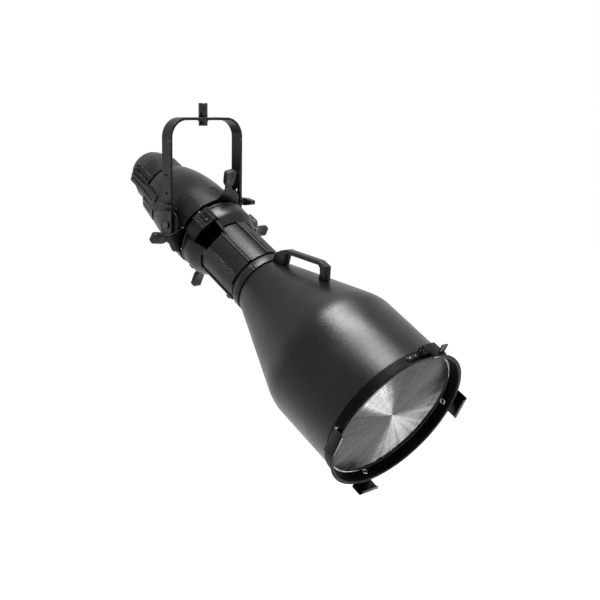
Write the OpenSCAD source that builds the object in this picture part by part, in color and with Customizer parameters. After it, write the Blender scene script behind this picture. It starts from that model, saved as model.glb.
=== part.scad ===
// Profile spotlight with a narrow beam: a bell shaped lens tube, a shutter barrel and a
// reflector housing hang in a flat strap yoke from a round mounting stem.
// Z is up and the light leaves towards -Y, nose down. The origin is the seat of the stem,
// at the centre of the yoke's top face.

/* [Yoke] */
// Room between the housing's collar and each arm of the yoke
yoke_room = 6.5; // [5.5:0.5:13]
// Width of the strap
strap_w = 32; // [30:1:34]
// Thickness of the strap
strap_t = 6; // [4:0.5:7]
// Outer radius of the yoke's bends
yoke_r = 45; // [36:1:60]
// Tilt pivot below the yoke's top face
pivot_drop = 240; // [234:1:260]
// Strap that runs on below the pivot
arm_tail = 17; // [14:1:20]
// Clutch stud above the pivot
clutch_rise = 41.5; // [40.5:0.5:44]
// Spare pivot hole above the pivot
spare_rise = 70; // [62:1:80]
// Small hole for a safety bond above the pivot
bond_rise = 112; // [95:1:130]
// Diameter of the safety bond's hole
bond_hole_d = 7; // [5:0.5:9]

/* [Mounting stem] */
// Diameter of the stem
stem_d = 21; // [20:0.5:28]
// Height of the stem above the yoke
stem_h = 32; // [28:1:50]
// Diameter of the bolt that holds the yoke
bolt_d = 12; // [10:1:12]
// Width of the bolt's head across its flats
bolt_flats = 19.5; // [17:0.5:20]
// Height of the bolt's head
bolt_head_h = 10; // [6:0.5:11]

/* [Rest pose] */
// Angle of the beam below the horizon
tilt = 27.5; // [20:0.5:35]
// Optical axis below the tilt pivot
axis_drop = 3; // [0:0.5:5]

/* [Tilt clutch] */
// Diameter of the brake discs
disc_d = 70; // [64:1:71]
// Thickness of the brake discs
disc_t = 3; // [2:0.5:3]
// Diameter of the pivot bolts
pivot_d = 10; // [8:0.5:12]
// Diameter of the clutch studs
stud_d = 8; // [6:0.5:9]
// Half length of the clutch handle
clutch_half = 36; // [28:1:36]
// Height of the clutch handle at its hub
clutch_h = 17; // [13:1:18]
// Depth of the clutch handle along its stud
clutch_depth = 13; // [10:0.5:14]

/* [Reflector housing] */
// Largest radius of the housing
housing_r = 90.5; // [89:0.5:90.5]
// Half length of the ellipse that the housing follows
housing_half = 197; // [192:1:202]
// Centre of that ellipse, ahead of the pivot
housing_c = -15; // [-17:1:-13]
// Wall of the housing and the shroud
shell_t = 3; // [2.5:0.25:3.25]
// Front face of the housing's collar
collar_front = 37; // [36.5:0.25:37]
// Front edge of the rear shroud
shroud_front = -158; // [-160:0.5:-157]
// Rear face of the shroud
shroud_back = -247; // [-251:1:-244]
// Radius of the shroud
shroud_r = 61; // [60:0.5:62]
// Height of the shroud's flat top above the axis
shroud_flat = 54; // [54:0.5:57]
// Radius of the burner cap
cap_r = 37; // [35:0.5:38]

/* [Shutter gate] */
// Radius of the light's aperture
gate_r = 40; // [36:1:41]
// Thickness of a shutter blade
blade_t = 0.8; // [0.6:0.1:1]
// Half width of a shutter blade
blade_half = 33; // [28:1:33.5]
// Radius of the gate's front flange
flange_r = 88.5; // [88:0.25:90]
// Front face of that flange
flange_front = 54; // [53:0.5:55]
// Front edge of the drum's straight band
band_front = 84.5; // [82:0.5:86]
// Inner end of the top shutter's grip from the axis
grip_out = 128; // [122:1:130]
// Length of a shutter's grip
grip_len = 38; // [30:1:40]
// Width of a shutter's grip
grip_w = 28; // [24:1:29]
// Thickness of a shutter's grip
grip_t = 12; // [9:0.5:12]

/* [Barrel] */
// Radius of the barrel between its ribs
barrel_r = 70; // [69:0.5:71]
// Height of the barrel's ribs
rib_h = 3.2; // [2:0.2:3.2]
// Front end of the barrel
barrel_front = 226; // [222:1:227]
// Wall of the barrel
barrel_t = 4.85; // [4.5:0.05:6]
// Angle of the first wide rib
rib_phase = 6; // [4:1:8]

/* [Bell and lens] */
// Rear face of the neck ring
neck_back = 231.5; // [230:0.5:233]
// Rear end of the bell, where its cone starts
bell_back = 252; // [250:1:254]
// Height of the neck ring above the barrel
neck_rise = 2.2; // [1:0.2:4]
// Wall of the bell
bell_t = 2; // [1.5:0.1:2.5]
// Front face of the rim
rim_front = 702; // [697:1:712]
// Rear edge of the rim band
rim_back = 674; // [668:1:676]
// Flare of the rim beyond the bell
rim_flare = 9; // [7:0.5:11]
// Front of the lens behind the rim's front
lens_set = 19; // [17:0.5:22]
// Thickness of the lens at its middle
lens_t = 22; // [16:1:26]

/* [Carry handle] */
// Height of the grip above the handle's rear foot
handle_h = 40; // [36:1:44]
// Width of the handle's strip
handle_w = 17; // [14:1:20]
// Rear screw of the handle along the axis
handle_rear = 270; // [268:1:280]
// Front screw of the handle along the axis
handle_fore = 397; // [380:1:410]

/* [Accessory clips] */
// Width of the square colour frame that the clips hold
frame_w = 356; // [352:1:362]
// Depth of the clips' channel in front of the rim
channel_d = 13.5; // [10:0.5:16]
// Room between the bell and the frame's edge
frame_room = 22; // [20:0.5:24]
// Length of a clip along the rim
clip_len = 56; // [40:1:64]
// Thickness of the clips' sheet
sheet_t = 1.5; // [1:0.1:2]

/* [Hidden] */

$fn = 96;
// Smoothness of the large bodies of revolution
fine = 160;
// Gap between flat faces that move past each other
seat = 0.3;
// Radial clearance of a shaft in its bore
fit = 0.05;
// Overlap of a cut past the face that it opens
cut = 1;
// Colours as they show in the photograph
black = "#1b1b1d";
steel = "#8d9094";
dark = "#2e2f31";

yoke_w = 2 * (housing_r + yoke_room + strap_t);
arm_out = yoke_w / 2;
arm_in = arm_out - strap_t;
disc_x = arm_in - seat;
boss_end = disc_x - disc_t;
tube_r = barrel_r - barrel_t - fit;
neck_r = barrel_r + neck_rise;
bell_r = frame_w / 2 - frame_room;
rim_r = bell_r + rim_flare;

// Places a child in the lamp's own frame: z runs forward along the light, y is the lamp's
// top and x stays lateral. Its origin lies on the optical axis, below the tilt pivot.
module lamp() {
  translate([0, 0, -pivot_drop]) rotate([90 + tilt, 0, 0])
    translate([0, -axis_drop, 0]) children();
}

// Turns a child from the lamp's top towards +X by an angle
module around(angle) {
  rotate([0, 0, -angle]) children();
}

// Lays a child's z axis along the lamp's y axis, out of the optical axis
module outward() {
  rotate([-90, 0, 0]) children();
}

// A ring around the optical axis
module ring(r_out, r_in, z0, z1) {
  translate([0, 0, z0]) difference() {
    cylinder(r = r_out, h = z1 - z0);
    translate([0, 0, -cut]) cylinder(r = r_in, h = z1 - z0 + 2 * cut);
  }
}

// Sector of a ring about the optical axis, from one angle to another
module sector(r_out, r_in, z0, z1, a0, a1) {
  translate([0, 0, z0]) rotate([0, 0, 90 - a1]) rotate_extrude(angle = a1 - a0, $fn = fine)
    translate([r_in, 0]) square([r_out - r_in, z1 - z0]);
}

// A small cheese head with a slot, standing on z = 0
module screw_head(r, h) {
  difference() {
    cylinder(r = r, h = h, $fn = 32);
    translate([-r - cut, -r * 0.14, h * 0.55]) cube([2 * (r + cut), r * 0.28, h]);
  }
}

// A knob with hollows round its rim, standing on z = 0
module lobed_knob(r, h, lobes) {
  hollow = r * 2 / lobes;
  difference() {
    cylinder(r = r, h = h);
    for (i = [0:lobes - 1]) rotate([0, 0, 360 * i / lobes]) translate([r + hollow * 0.5, 0, -cut])
      cylinder(r = hollow, h = h + 2 * cut, $fn = 32);
  }
}

// A block centred on x and z at a place, with its foot at that place's y
module plate(x, y, z, at = [0, 0, 0]) {
  translate([at[0] - x / 2, at[1], at[2] - z / 2]) cube([x, y, z]);
}

/* Mounting stem and yoke */

washer_t = 2.5;
washer_r = 12;
stem_tap = 24;
yoke_under = -seat - strap_t;
washer_top = yoke_under - seat;

module mounting_stem() {
  edge = 1;
  color(black) difference() {
    rotate_extrude() polygon([[0, 0], [stem_d / 2, 0], [stem_d / 2, stem_h - edge],
      [stem_d / 2 - edge, stem_h], [0, stem_h]]);
    translate([0, 0, -cut]) cylinder(r = bolt_d / 2 + fit, h = stem_tap + cut);
  }
}

module yoke_bolt() {
  bolt_top = stem_tap - 2;
  color(dark) translate([0, 0, washer_top - washer_t]) {
    cylinder(r = bolt_d / 2, h = bolt_top - washer_top + washer_t);
    translate([0, 0, -bolt_head_h]) cylinder(r = bolt_flats / sqrt(3), h = bolt_head_h, $fn = 6);
  }
}

module yoke_washer() {
  color(dark) ring(washer_r, bolt_d / 2 + fit, washer_top - washer_t, washer_top);
}

// An upright slab with its two top corners rounded
module arch(half, top, bottom, r) {
  translate([-half, bottom]) square([2 * half, top - bottom - r]);
  translate([r - half, top - r - cut]) square([2 * (half - r), r + cut]);
  for (side = [-1, 1]) translate([side * (half - r), top - r]) circle(r = r);
}

// The whole bent strap with its holes
module yoke_strap() {
  bottom = -pivot_drop - arm_tail;
  corner = 5;
  difference() {
    translate([0, strap_w / 2, -seat]) rotate([90, 0, 0]) linear_extrude(strap_w) difference() {
      arch(arm_out, 0, bottom + seat, yoke_r);
      arch(arm_in, -strap_t, bottom - cut, yoke_r - strap_t);
    }
    translate([0, 0, -strap_t - cut]) cylinder(r = bolt_d / 2 + fit, h = strap_t + 2 * cut);
    across(0, pivot_d / 2 + fit);
    across(clutch_rise, stud_d / 2 + fit);
    across(spare_rise, pivot_d / 2 + fit);
    across(bond_rise, bond_hole_d / 2);
    for (side = [-1, 1]) translate([-yoke_w, 0, 0]) rotate([90, 0, 90]) linear_extrude(2 * yoke_w)
      polygon([[side * (strap_w / 2 - corner), bottom], [side * strap_w / 2, bottom + corner],
        [side * (strap_w / 2 + corner), bottom + corner],
        [side * (strap_w / 2 + corner), bottom - corner],
        [side * (strap_w / 2 - corner), bottom - corner]]);
  }
}

// Height at which the strap is drawn in two nodes, just under its bends
arm_top = -yoke_r - 7;

// The strap's top and its two bends
module yoke() {
  color(black) difference() {
    yoke_strap();
    translate([-yoke_w, -strap_w, -2 * pivot_drop]) cube([2 * yoke_w, 2 * strap_w, 2 * pivot_drop + arm_top]);
  }
}

// The strap's two straight arms, with their holes
module yoke_arms() {
  color(black) difference() {
    yoke_strap();
    translate([-yoke_w, -strap_w, arm_top]) cube([2 * yoke_w, 2 * strap_w, pivot_drop]);
  }
}

// A hole across both arms at a height above the pivot
module across(rise, r) {
  translate([-yoke_w, 0, rise - pivot_drop]) rotate([0, 90, 0]) cylinder(r = r, h = 2 * yoke_w);
}

/* Tilt clutch */

clutch_z = clutch_rise - pivot_drop;
clamp_t = 2.2;
clamp_x = boss_end - seat;

// Pinches the edge of the brake disc against the arm
module clutch_plate(side) {
  reach = 12;
  depth = 22;
  over = 9;
  heel = disc_d / 2 - clutch_rise + 1;
  color(black) translate([0, 0, clutch_z]) mirror([side < 0 ? 1 : 0, 0, 0]) difference() {
    union() {
      translate([clamp_x - clamp_t, -depth / 2, -reach]) cube([clamp_t, depth, reach + over]);
      translate([clamp_x - clamp_t, -depth / 2, heel])
        cube([arm_in - seat - clamp_x + clamp_t, depth, over - heel]);
    }
    translate([clamp_x - 2 * clamp_t, 0, 0]) rotate([0, 90, 0])
      cylinder(r = stud_d / 2 + fit, h = strap_t + 4 * clamp_t);
  }
}

module clutch_plates() {
  for (side = [-1, 1]) clutch_plate(side);
}

module clutch_handle(side) {
  hub_r = 9;
  hub_x = arm_out + seat;
  bar_x = hub_x + 11;
  tip = 4.5;
  flat = clutch_half * 0.4;
  stud_x = clamp_x - clamp_t - seat;
  color(black) translate([0, 0, clutch_z]) mirror([side < 0 ? 1 : 0, 0, 0]) {
    translate([stud_x, 0, 0]) rotate([0, 90, 0]) cylinder(r = stud_d / 2, h = bar_x - stud_x + 1);
    translate([hub_x, 0, 0]) rotate([0, 90, 0]) cylinder(r = hub_r, h = bar_x - hub_x + 1);
    translate([bar_x, 0, 0]) rotate([90, 0, 90]) linear_extrude(clutch_depth)
      polygon([[-clutch_half, -tip], [-flat, -clutch_h / 2], [flat, -clutch_h / 2],
        [clutch_half, -tip], [clutch_half, tip], [flat, clutch_h / 2], [-flat, clutch_h / 2],
        [-clutch_half, tip]]);
  }
}

module brake_disc(side) {
  color(black) translate([side * disc_x, 0, -pivot_drop]) rotate([0, -90 * side, 0]) difference() {
    cylinder(r = disc_d / 2, h = disc_t);
    translate([0, 0, -cut]) cylinder(r = pivot_d / 2 + fit, h = disc_t + 2 * cut);
  }
}

module pivot_bolts() {
  head_r = 8;
  head_h = 3.5;
  depth = 12;
  color(dark) for (side = [-1, 1]) translate([side * (arm_out + seat), 0, -pivot_drop])
    rotate([0, 90 * side, 0]) {
      screw_head(head_r, head_h);
      translate([0, 0, -strap_t - disc_t - depth])
        cylinder(r = pivot_d / 2, h = strap_t + disc_t + depth + cut);
    }
}

/* Reflector housing */

collar_back = -14;
collar_step = 0.8;
skirt_r = 50;
housing_back = -192;
shoulder_back = shroud_front + 0.6;
shoulder_front = -147;
turn_bore = 78.5;
turn_web = 4;
lock_z = 19;
lock_r = 4;

// Radius of the housing's ellipse at a station along the axis
function housing_at(z) = housing_r * sqrt(1 - pow((z - housing_c) / housing_half, 2));

// Points of that ellipse between two stations
function housing_arc(z0, z1, inset, n) = [for (i = [0:n]) let (z = z0 + (z1 - z0) * i / n)
  [housing_at(z) - inset, z]];

module reflector_housing() {
  boss_r = 16;
  step_r = housing_r - collar_step;
  wall = shell_t + collar_step;
  rib_w = 2;
  rib_len = collar_front - collar_back - 3;
  color(black) lamp() difference() {
    union() {
      rotate_extrude($fn = fine) polygon(concat(
        [[skirt_r, housing_back], [skirt_r, shoulder_back], [skirt_r + 8, shoulder_back + 5]],
        housing_arc(shoulder_front, collar_back, collar_step, 18),
        [[housing_r, collar_back], [housing_r, collar_front], [turn_bore, collar_front],
        [turn_bore, collar_front - turn_web], [housing_r - wall, collar_front - turn_web - 5]],
        housing_arc(collar_back, shoulder_front + 2, wall, 18),
        [[skirt_r + 8 - shell_t, shoulder_back + 7], [skirt_r - shell_t, shoulder_back + 2],
        [skirt_r - shell_t, housing_back]]));
      for (side = [-1, 1]) translate([side * (step_r - shell_t), axis_drop, 0])
        rotate([0, 90 * side, 0]) cylinder(r = boss_r, h = boss_end - step_r + shell_t);
      for (angle = [-79, -37, 5, 47, 133, 217, 259]) around(angle)
        plate(rib_w, collar_step + 1.2, rib_len, [0, step_r, (collar_front + collar_back) / 2]);
    }
    translate([-yoke_w / 2, axis_drop, 0]) rotate([0, 90, 0])
      cylinder(r = pivot_d / 2 + fit, h = yoke_w);
    collar_screw_places() translate([0, 0, -2 * shell_t]) cylinder(r = 1.55, h = 4 * shell_t);
    around(180) translate([0, turn_bore, lock_z]) outward() cylinder(r = lock_r + fit, h = 20);
  }
}

module collar_screw_places() {
  for (angle = [1, 115, 181, 295]) around(angle)
    translate([0, housing_r, collar_back + 4]) outward() children();
}

module collar_screws() {
  color(dark) lamp() collar_screw_places() {
    translate([0, 0, fit]) screw_head(2.6, 1.8);
    translate([0, 0, -shell_t - cut]) cylinder(r = 1.5, h = shell_t + 2 * cut);
  }
}

reflector_front = -30;
reflector_back = -172;
reflector_open_r = 68;
reflector_hole = 24;

// Points of the reflector's dish, pushed out by a thickness
function dish(out) = [for (i = [0:16]) let (t = i / 16) [max(reflector_hole,
  reflector_open_r * sqrt(1 - pow(1 - t, 2))) + out, reflector_back +
  (reflector_front - reflector_back) * t]];

module reflector() {
  glass_t = 3;
  inner = dish(0);
  outer = dish(glass_t);
  color("#c8ccd0") lamp() rotate_extrude()
    polygon(concat(inner, [for (i = [len(outer) - 1:-1:0]) outer[i]]));
}

// Holds the reflector's front edge against the housing's wall
module reflector_ring() {
  t = 2;
  z = reflector_front + seat;
  color(steel) lamp() ring(housing_at(z) - shell_t - collar_step - seat,
    reflector_open_r - 4, z, z + t);
}

cap_flange = cap_r + 6;
screw_angle = 100;
shroud_foot = cap_flange + 1;

// The shroud's outer form, drawn in by an inset and run on past its front
module shroud_form(inset, past) {
  intersection() {
    rotate_extrude($fn = fine) polygon([[0, shroud_back + inset],
      [shroud_foot - inset * 0.4, shroud_back + inset],
      [shroud_foot + 4 - inset, shroud_back + 5 + inset * 0.5], [55 - inset, shroud_back + 25],
      [shroud_r - inset, shroud_back + 47], [shroud_r - inset, shroud_front + past],
      [0, shroud_front + past]]);
    translate([-shroud_r, -2 * shroud_r, shroud_back - cut])
      cube([2 * shroud_r, 2 * shroud_r + shroud_flat - inset, 4 * shroud_r]);
  }
}

module rear_shroud() {
  slat_w = 9.5;
  slat_h = 6;
  slat_back = shroud_back + 28;
  slat_front = shroud_front + 7;
  web_z = shroud_front - 10;
  web_t = 4;
  color(black) lamp() difference() {
    union() {
      shroud_form(0, 0);
      for (side = [-1, 1]) for (i = [0:3]) around(side * (65 + 11 * i))
        plate(slat_w, slat_h + 5, slat_front - slat_back - 2 * i,
          [0, shroud_r - 5, (slat_front + slat_back) / 2 - i]);
    }
    difference() {
      shroud_form(shell_t, cut);
      translate([0, 0, web_z]) cylinder(r = shroud_r, h = web_t);
    }
    translate([0, 0, web_z - cut]) cylinder(r = skirt_r + seat, h = web_t + 2 * cut);
    translate([0, 0, shroud_front]) cylinder(r = shroud_r + 0.2, h = 30);
    translate([0, 0, shroud_back - cut]) cylinder(r = cap_r + seat, h = 3 * shell_t);
    screw_axis() cylinder(r = cap_stud + fit, h = 60, center = true);
  }
}

// Ribbed side piece that sits on the housing's flank
module side_fins(side) {
  back = -141;
  front = -86;
  rear_r = 79;
  front_r = housing_at(front) + 1.5;
  span = 46;
  grooves = 3;
  pitch = span / (grooves + 1);
  groove_deg = 3.4;
  depth = 3;
  color(black) lamp() around(side * 97) rotate([0, 0, 90 - span / 2]) difference() {
    rotate_extrude(angle = span, $fn = fine) polygon(concat([[rear_r, back], [front_r, front]],
      housing_arc(front, back, -seat, 12)));
    for (i = [1:grooves]) rotate([0, 0, i * pitch - groove_deg / 2])
      rotate_extrude(angle = groove_deg, $fn = fine) polygon([[rear_r - depth, back - cut],
        [rear_r + 9, back - cut], [front_r + 9, front - 12], [front_r - depth, front - 12]]);
  }
}

/* Burner cap and lamp */

cap_back = shroud_back - 10;
socket_r = 17;
cap_wall = 3;
tube_front = shroud_back + 34;
cap_stud = 2.2;
cap_boss = 9;
gland_r = 6;
gland_bore = 4;
gland_off = 26;
knob_bore = 2.5;
hub_bore = 4;

module gland_axis() {
  translate([0, -gland_off, cap_back]) children();
}

module screw_axis() {
  around(screw_angle) translate([0, cap_r + 3.3, shroud_back]) children();
}

module burner_cap() {
  color(black) lamp() difference() {
    union() {
      rotate_extrude() polygon([[0, cap_back], [cap_r - 6, cap_back], [cap_r - 1, cap_back + 4],
        [cap_flange, shroud_back - 4], [cap_flange, shroud_back - seat],
        [cap_r, shroud_back - seat], [cap_r, shroud_back + 8],
        [socket_r + cap_wall, shroud_back + 8], [socket_r + cap_wall, tube_front],
        [0, tube_front]]);
      intersection() {
        screw_axis() translate([0, 0, -cap_boss]) cylinder(r = 5, h = cap_boss - seat);
        translate([0, 0, cap_back]) cylinder(r = cap_flange, h = 20);
      }
    }
    translate([0, 0, cap_back + 2 * cap_wall]) cylinder(r = socket_r + seat, h = 100);
    translate([0, 0, cap_back - cut]) cylinder(r = hub_bore + fit, h = 3 * cap_wall);
    gland_axis() cylinder(r = gland_r + fit, h = 120, center = true);
    screw_axis() cylinder(r = cap_stud + fit, h = 60, center = true);
  }
}

module lamp_socket() {
  back = cap_back + 2 * cap_wall + seat;
  color("#d9d2c3") lamp() difference() {
    translate([0, 0, back]) cylinder(r = socket_r, h = tube_front - back);
    for (side = [-1, 1]) translate([side * 6, 0, tube_front - 12])
      cylinder(r = 1.5 + fit, h = 12 + cut);
  }
}

lamp_seat = tube_front + seat;
lamp_foot = 14;

module lamp_base() {
  color(steel) lamp() {
    translate([0, 0, lamp_seat]) cylinder(r = 11, h = lamp_foot);
    for (i = [0:2]) translate([0, 0, lamp_seat + 2 + 4 * i]) cylinder(r = 15, h = 1.6);
    for (side = [-1, 1]) translate([side * 6, 0, lamp_seat - 10]) cylinder(r = 1.5, h = 10 + cut);
  }
}

glass_back = lamp_seat + lamp_foot + fit;
glass_len = 62;
glass_r = 9.5;
glass_foot = 10;

module lamp_envelope() {
  wall = 1.2;
  color("#e6eef2", 0.5) lamp() translate([0, 0, glass_back]) difference() {
    union() {
      cylinder(r = glass_r, h = glass_len - glass_r);
      translate([0, 0, glass_len - glass_r]) sphere(r = glass_r);
    }
    translate([0, 0, glass_foot]) cylinder(r = glass_r - wall, h = glass_len - glass_r - glass_foot);
    translate([0, 0, glass_len - glass_r]) sphere(r = glass_r - wall);
  }
}

// Four coils on their supply wires
module lamp_filament() {
  color("#b8a070") lamp() for (angle = [0:90:270]) rotate([0, 0, angle])
    translate([3.2, 0, glass_back + glass_foot + fit]) {
      cylinder(r = 0.4, h = 40);
      translate([0, 0, 16]) cylinder(r = 1.3, h = 20);
    }
}

module cable_gland() {
  tail = 10;
  reach = 13;
  color(black) lamp() gland_axis() difference() {
    union() {
      translate([0, 0, -tail]) cylinder(r = gland_r, h = tail + reach);
      translate([0, 0, -3 - seat]) cylinder(r = 9, h = 3, $fn = 6);
    }
    translate([0, 0, -tail - cut]) cylinder(r = gland_bore, h = tail + reach + 2 * cut);
  }
}

module gland_nut() {
  h = 7;
  z = -4 - h;
  color(black) lamp() gland_axis() difference() {
    translate([0, 0, z]) lobed_knob(9, h, 12);
    translate([0, 0, z - cut]) cylinder(r = gland_r + fit, h = h + 2 * cut);
  }
}

// Holds the burner cap to the shroud
module cap_screw() {
  head = 9;
  color(black) lamp() screw_axis() translate([0, 0, -cap_boss - seat]) {
    cylinder(r = cap_stud, h = 2 * cap_boss);
    translate([0, 0, -head]) lobed_knob(7, head, 6);
  }
}

knob_h = 9;

module centring_knob() {
  color(black) lamp() translate([0, 0, cap_back - seat - knob_h]) difference() {
    union() {
      lobed_knob(12.5, knob_h, 15);
      cylinder(r = hub_bore, h = knob_h + 5);
    }
    translate([0, 0, -cut]) cylinder(r = knob_bore + fit, h = knob_h + 10);
  }
}

module peak_knob() {
  h = 6;
  color(black) lamp() translate([0, 0, cap_back - 2 * seat - knob_h - h]) {
    lobed_knob(7.5, h, 10);
    cylinder(r = knob_bore, h = h + knob_h + 4);
  }
}

/* Shutter gate */

gate_plate_t = 2;
gate_plate_r = 80;
gate_back = collar_front + seat;
front_plate_t = 4;
blade_pitch = 1.15;
blade_gap = 0.35;
blade_first = gate_back + gate_plate_t + blade_gap;
runner_t = blade_pitch + blade_gap - seat;
gate_front = blade_first + 4 * blade_pitch;
post_r = 3;
post_at = 82;
turn_limit = 25;
spigot_back = 8;

// Places of the posts that join the gate's plates, clear of every blade's way
module post_places() {
  for (angle = [60, 135, 225, 315]) around(angle) translate([0, post_at, 0]) children();
}

module posts(r, z0, z1) {
  post_places() translate([0, 0, z0]) cylinder(r = r, h = z1 - z0);
}

// Plate of the gate with its aperture and an ear for each post
module gate_plate(z, t) {
  translate([0, 0, z]) linear_extrude(t) difference() {
    union() {
      circle(r = gate_plate_r);
      post_places() circle(r = post_r + 2.5);
    }
    circle(r = gate_r);
    post_places() circle(r = post_r + fit);
  }
}

// Raised runner on a gate plate, that carries a blade from the middle of the stack
module runner(s, z) {
  around(s[0]) plate(30, 16, runner_t + 1, [s[2], 61, z]);
}

// Rear plate, with the spigot that turns in the housing's collar
module gate_rear_plate() {
  wall = 3.5;
  slot_half = turn_limit + asin((lock_r + 3 * fit) / (turn_bore - wall)) + 0.3;
  color(black) lamp() {
    gate_plate(gate_back, gate_plate_t);
    runner(left_shutter, gate_back + gate_plate_t + (runner_t - 1) / 2);
    difference() {
      ring(turn_bore - fit, turn_bore - wall, spigot_back, gate_back + 1);
      sector(turn_bore + cut, turn_bore - wall - cut, lock_z - lock_r - fit, lock_z + lock_r + fit,
        180 - slot_half, 180 + slot_half);
    }
  }
}

module gate_front_plate() {
  color(black) lamp() {
    gate_plate(gate_front, front_plate_t);
    runner(right_shutter, gate_front - (runner_t - 1) / 2);
  }
}

module gate_posts() {
  z0 = gate_back + fit;
  z1 = gate_front + front_plate_t - fit;
  color(dark) lamp() {
    posts(post_r, z0, z1);
    posts(post_r + 2, z0 + gate_plate_t, z1 - front_plate_t);
  }
}

// Each shutter: the side that it comes from, its lean in the gate, its grip's place
// sideways, the radius of the grip's inner end and its place in the stack
top_shutter = [0, 14, -5, grip_out, 0];
left_shutter = [-90, -9, 0, grip_out + 3, 1];
right_shutter = [90, 0, 7, grip_out - 1, 2];
bottom_shutter = [180, 0, 0, grip_out - 19, 3];
blade_reach = 86;
neck_half = 9;
tang = 6;

// Places a child on the inner end of a shutter's grip, at the middle of its blade
module shutter_place(s) {
  z = blade_first + s[4] * blade_pitch + blade_t / 2;
  color(s[5]) lamp() around(s[0]) translate([s[2], s[3] + grip_len / 2, z]) rotate([0, 0, s[1]])
    translate([0, -grip_len / 2, 0]) children();
}

// Blade that flares from its neck to its full width
module blade(s) {
  side = [[neck_half, tang], [neck_half, -8], [neck_half + 4, -17], [blade_half * 0.68, -26],
    [blade_half - 3, -34], [blade_half, -40], [blade_half, -blade_reach]];
  shutter_place(concat(s, [steel])) translate([0, 0, -blade_t / 2]) linear_extrude(blade_t)
    polygon(concat(side, [for (i = [len(side) - 1:-1:0]) [-side[i][0], side[i][1]]]));
}

// Moulded grip, bevelled on both faces, with a pocket for its blade's tang
module grip(s) {
  bevel = 3;
  w = grip_w / 2;
  t = grip_t / 2;
  shutter_place(concat(s, [black])) difference() {
    intersection() {
      outward() mirror([0, 1, 0]) linear_extrude(grip_len) polygon([[-w, bevel - t],
        [bevel - w, -t], [w - bevel, -t], [w, bevel - t], [w, t - bevel], [w - bevel, t],
        [bevel - w, t], [-w, t - bevel]]);
      translate([0, 0, -grip_t]) linear_extrude(2 * grip_t)
        polygon([[6 - w, 0], [w - 6, 0], [w - 2, 9], [w, grip_len - 5], [w - 5, grip_len],
          [5 - w, grip_len], [-w, grip_len - 5], [2 - w, 9]]);
    }
    plate(2 * (neck_half + fit), tang + 2 * cut, blade_t + 2 * fit, [0, -cut, 0]);
  }
}

/* Drum and barrel */

band_back = flange_front + 1.6;
band_r = flange_r - 0.8;
cone_front = 106;
drum_back = gate_front + front_plate_t + fit;
drum_inner = 78;
slot_from = -82;
slot_to = -35;
slot_front = 118;
block_at = -44.5;
block_w = 41;
block_r = 95.5;
block_back = 50;
block_front = 92;
block_z = (block_front + block_back) / 2;
block_foot = drum_inner + 2;
cover_w = 18;
cover_l = 29;
fence_front = 128;

module shutter_drum() {
  chamfer = 1.6;
  groove_r = band_r - 3;
  rib = 4;
  web_z = band_front - 4;
  ear_z = 70;
  ear_top = flange_r + 9.5;
  color(black) lamp() difference() {
    union() {
      difference() {
        rotate_extrude($fn = fine) polygon([[drum_inner, drum_back], [flange_r, drum_back],
          [flange_r, flange_front - chamfer], [flange_r - chamfer, flange_front],
          [groove_r, flange_front], [groove_r, band_back], [band_r, band_back],
          [band_r, band_front], [barrel_r + rib_h + 1, cone_front], [barrel_r + fit, cone_front],
          [barrel_r + fit, web_z + 6], [drum_inner, web_z]]);
        sector(2 * band_r, barrel_r - 10, band_front, slot_front, slot_from, slot_to);
      }
      around(block_at) {
        plate(block_w, block_r - 2 - block_foot, block_front - block_back, [0, block_foot, block_z]);
        for (side = [-1, 1]) for (step = [0, 7]) plate(rib, block_r - block_foot - 1,
          block_front - block_back, [side * ((block_w - rib) / 2 - step), block_foot + 1, block_z]);
      }
      around(slot_to) rotate([0, -90, 0]) linear_extrude(rib, center = true)
        polygon([[block_back, block_foot], [fence_front, barrel_r + fit],
          [fence_front, barrel_r + 4], [band_front, band_r + 4], [block_back, band_r + 4]]);
      around(60) plate(16, ear_top - flange_r + 2.5, 28, [0, flange_r - 2.5, ear_z]);
    }
    around(block_at) plate(cover_w + 2 * seat, 20, cover_l + 2 * seat, [0, block_r - 5, block_z]);
    around(60) translate([0, ear_top - 4, ear_z]) rotate([0, 90, 0])
      cylinder(r = 2.2, h = 40, center = true);
    translate([0, 0, drum_back - cut]) cylinder(r = drum_inner, h = web_z - drum_back + cut);
    translate([0, 0, web_z]) cylinder(r1 = drum_inner, r2 = barrel_r + fit, h = 6);
  }
}

// Sprung cover over the pattern slot
module pattern_slot_cover() {
  color(black) lamp() around(block_at) difference() {
    plate(cover_w, 3, cover_l, [0, block_r - 5 + seat, block_z]);
    plate(3, 10, cover_l - 10, [0, block_r - 3, block_z]);
  }
}

barrel_back = 92;
wide_rib = 25;
narrow_rib = 9;
groove_from = 147;
groove_to = 218;
focus_angle = rib_phase + 180;
focus_z = 172;
focus_back = -5;
focus_out = 30;
stud_r = 3;

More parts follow.
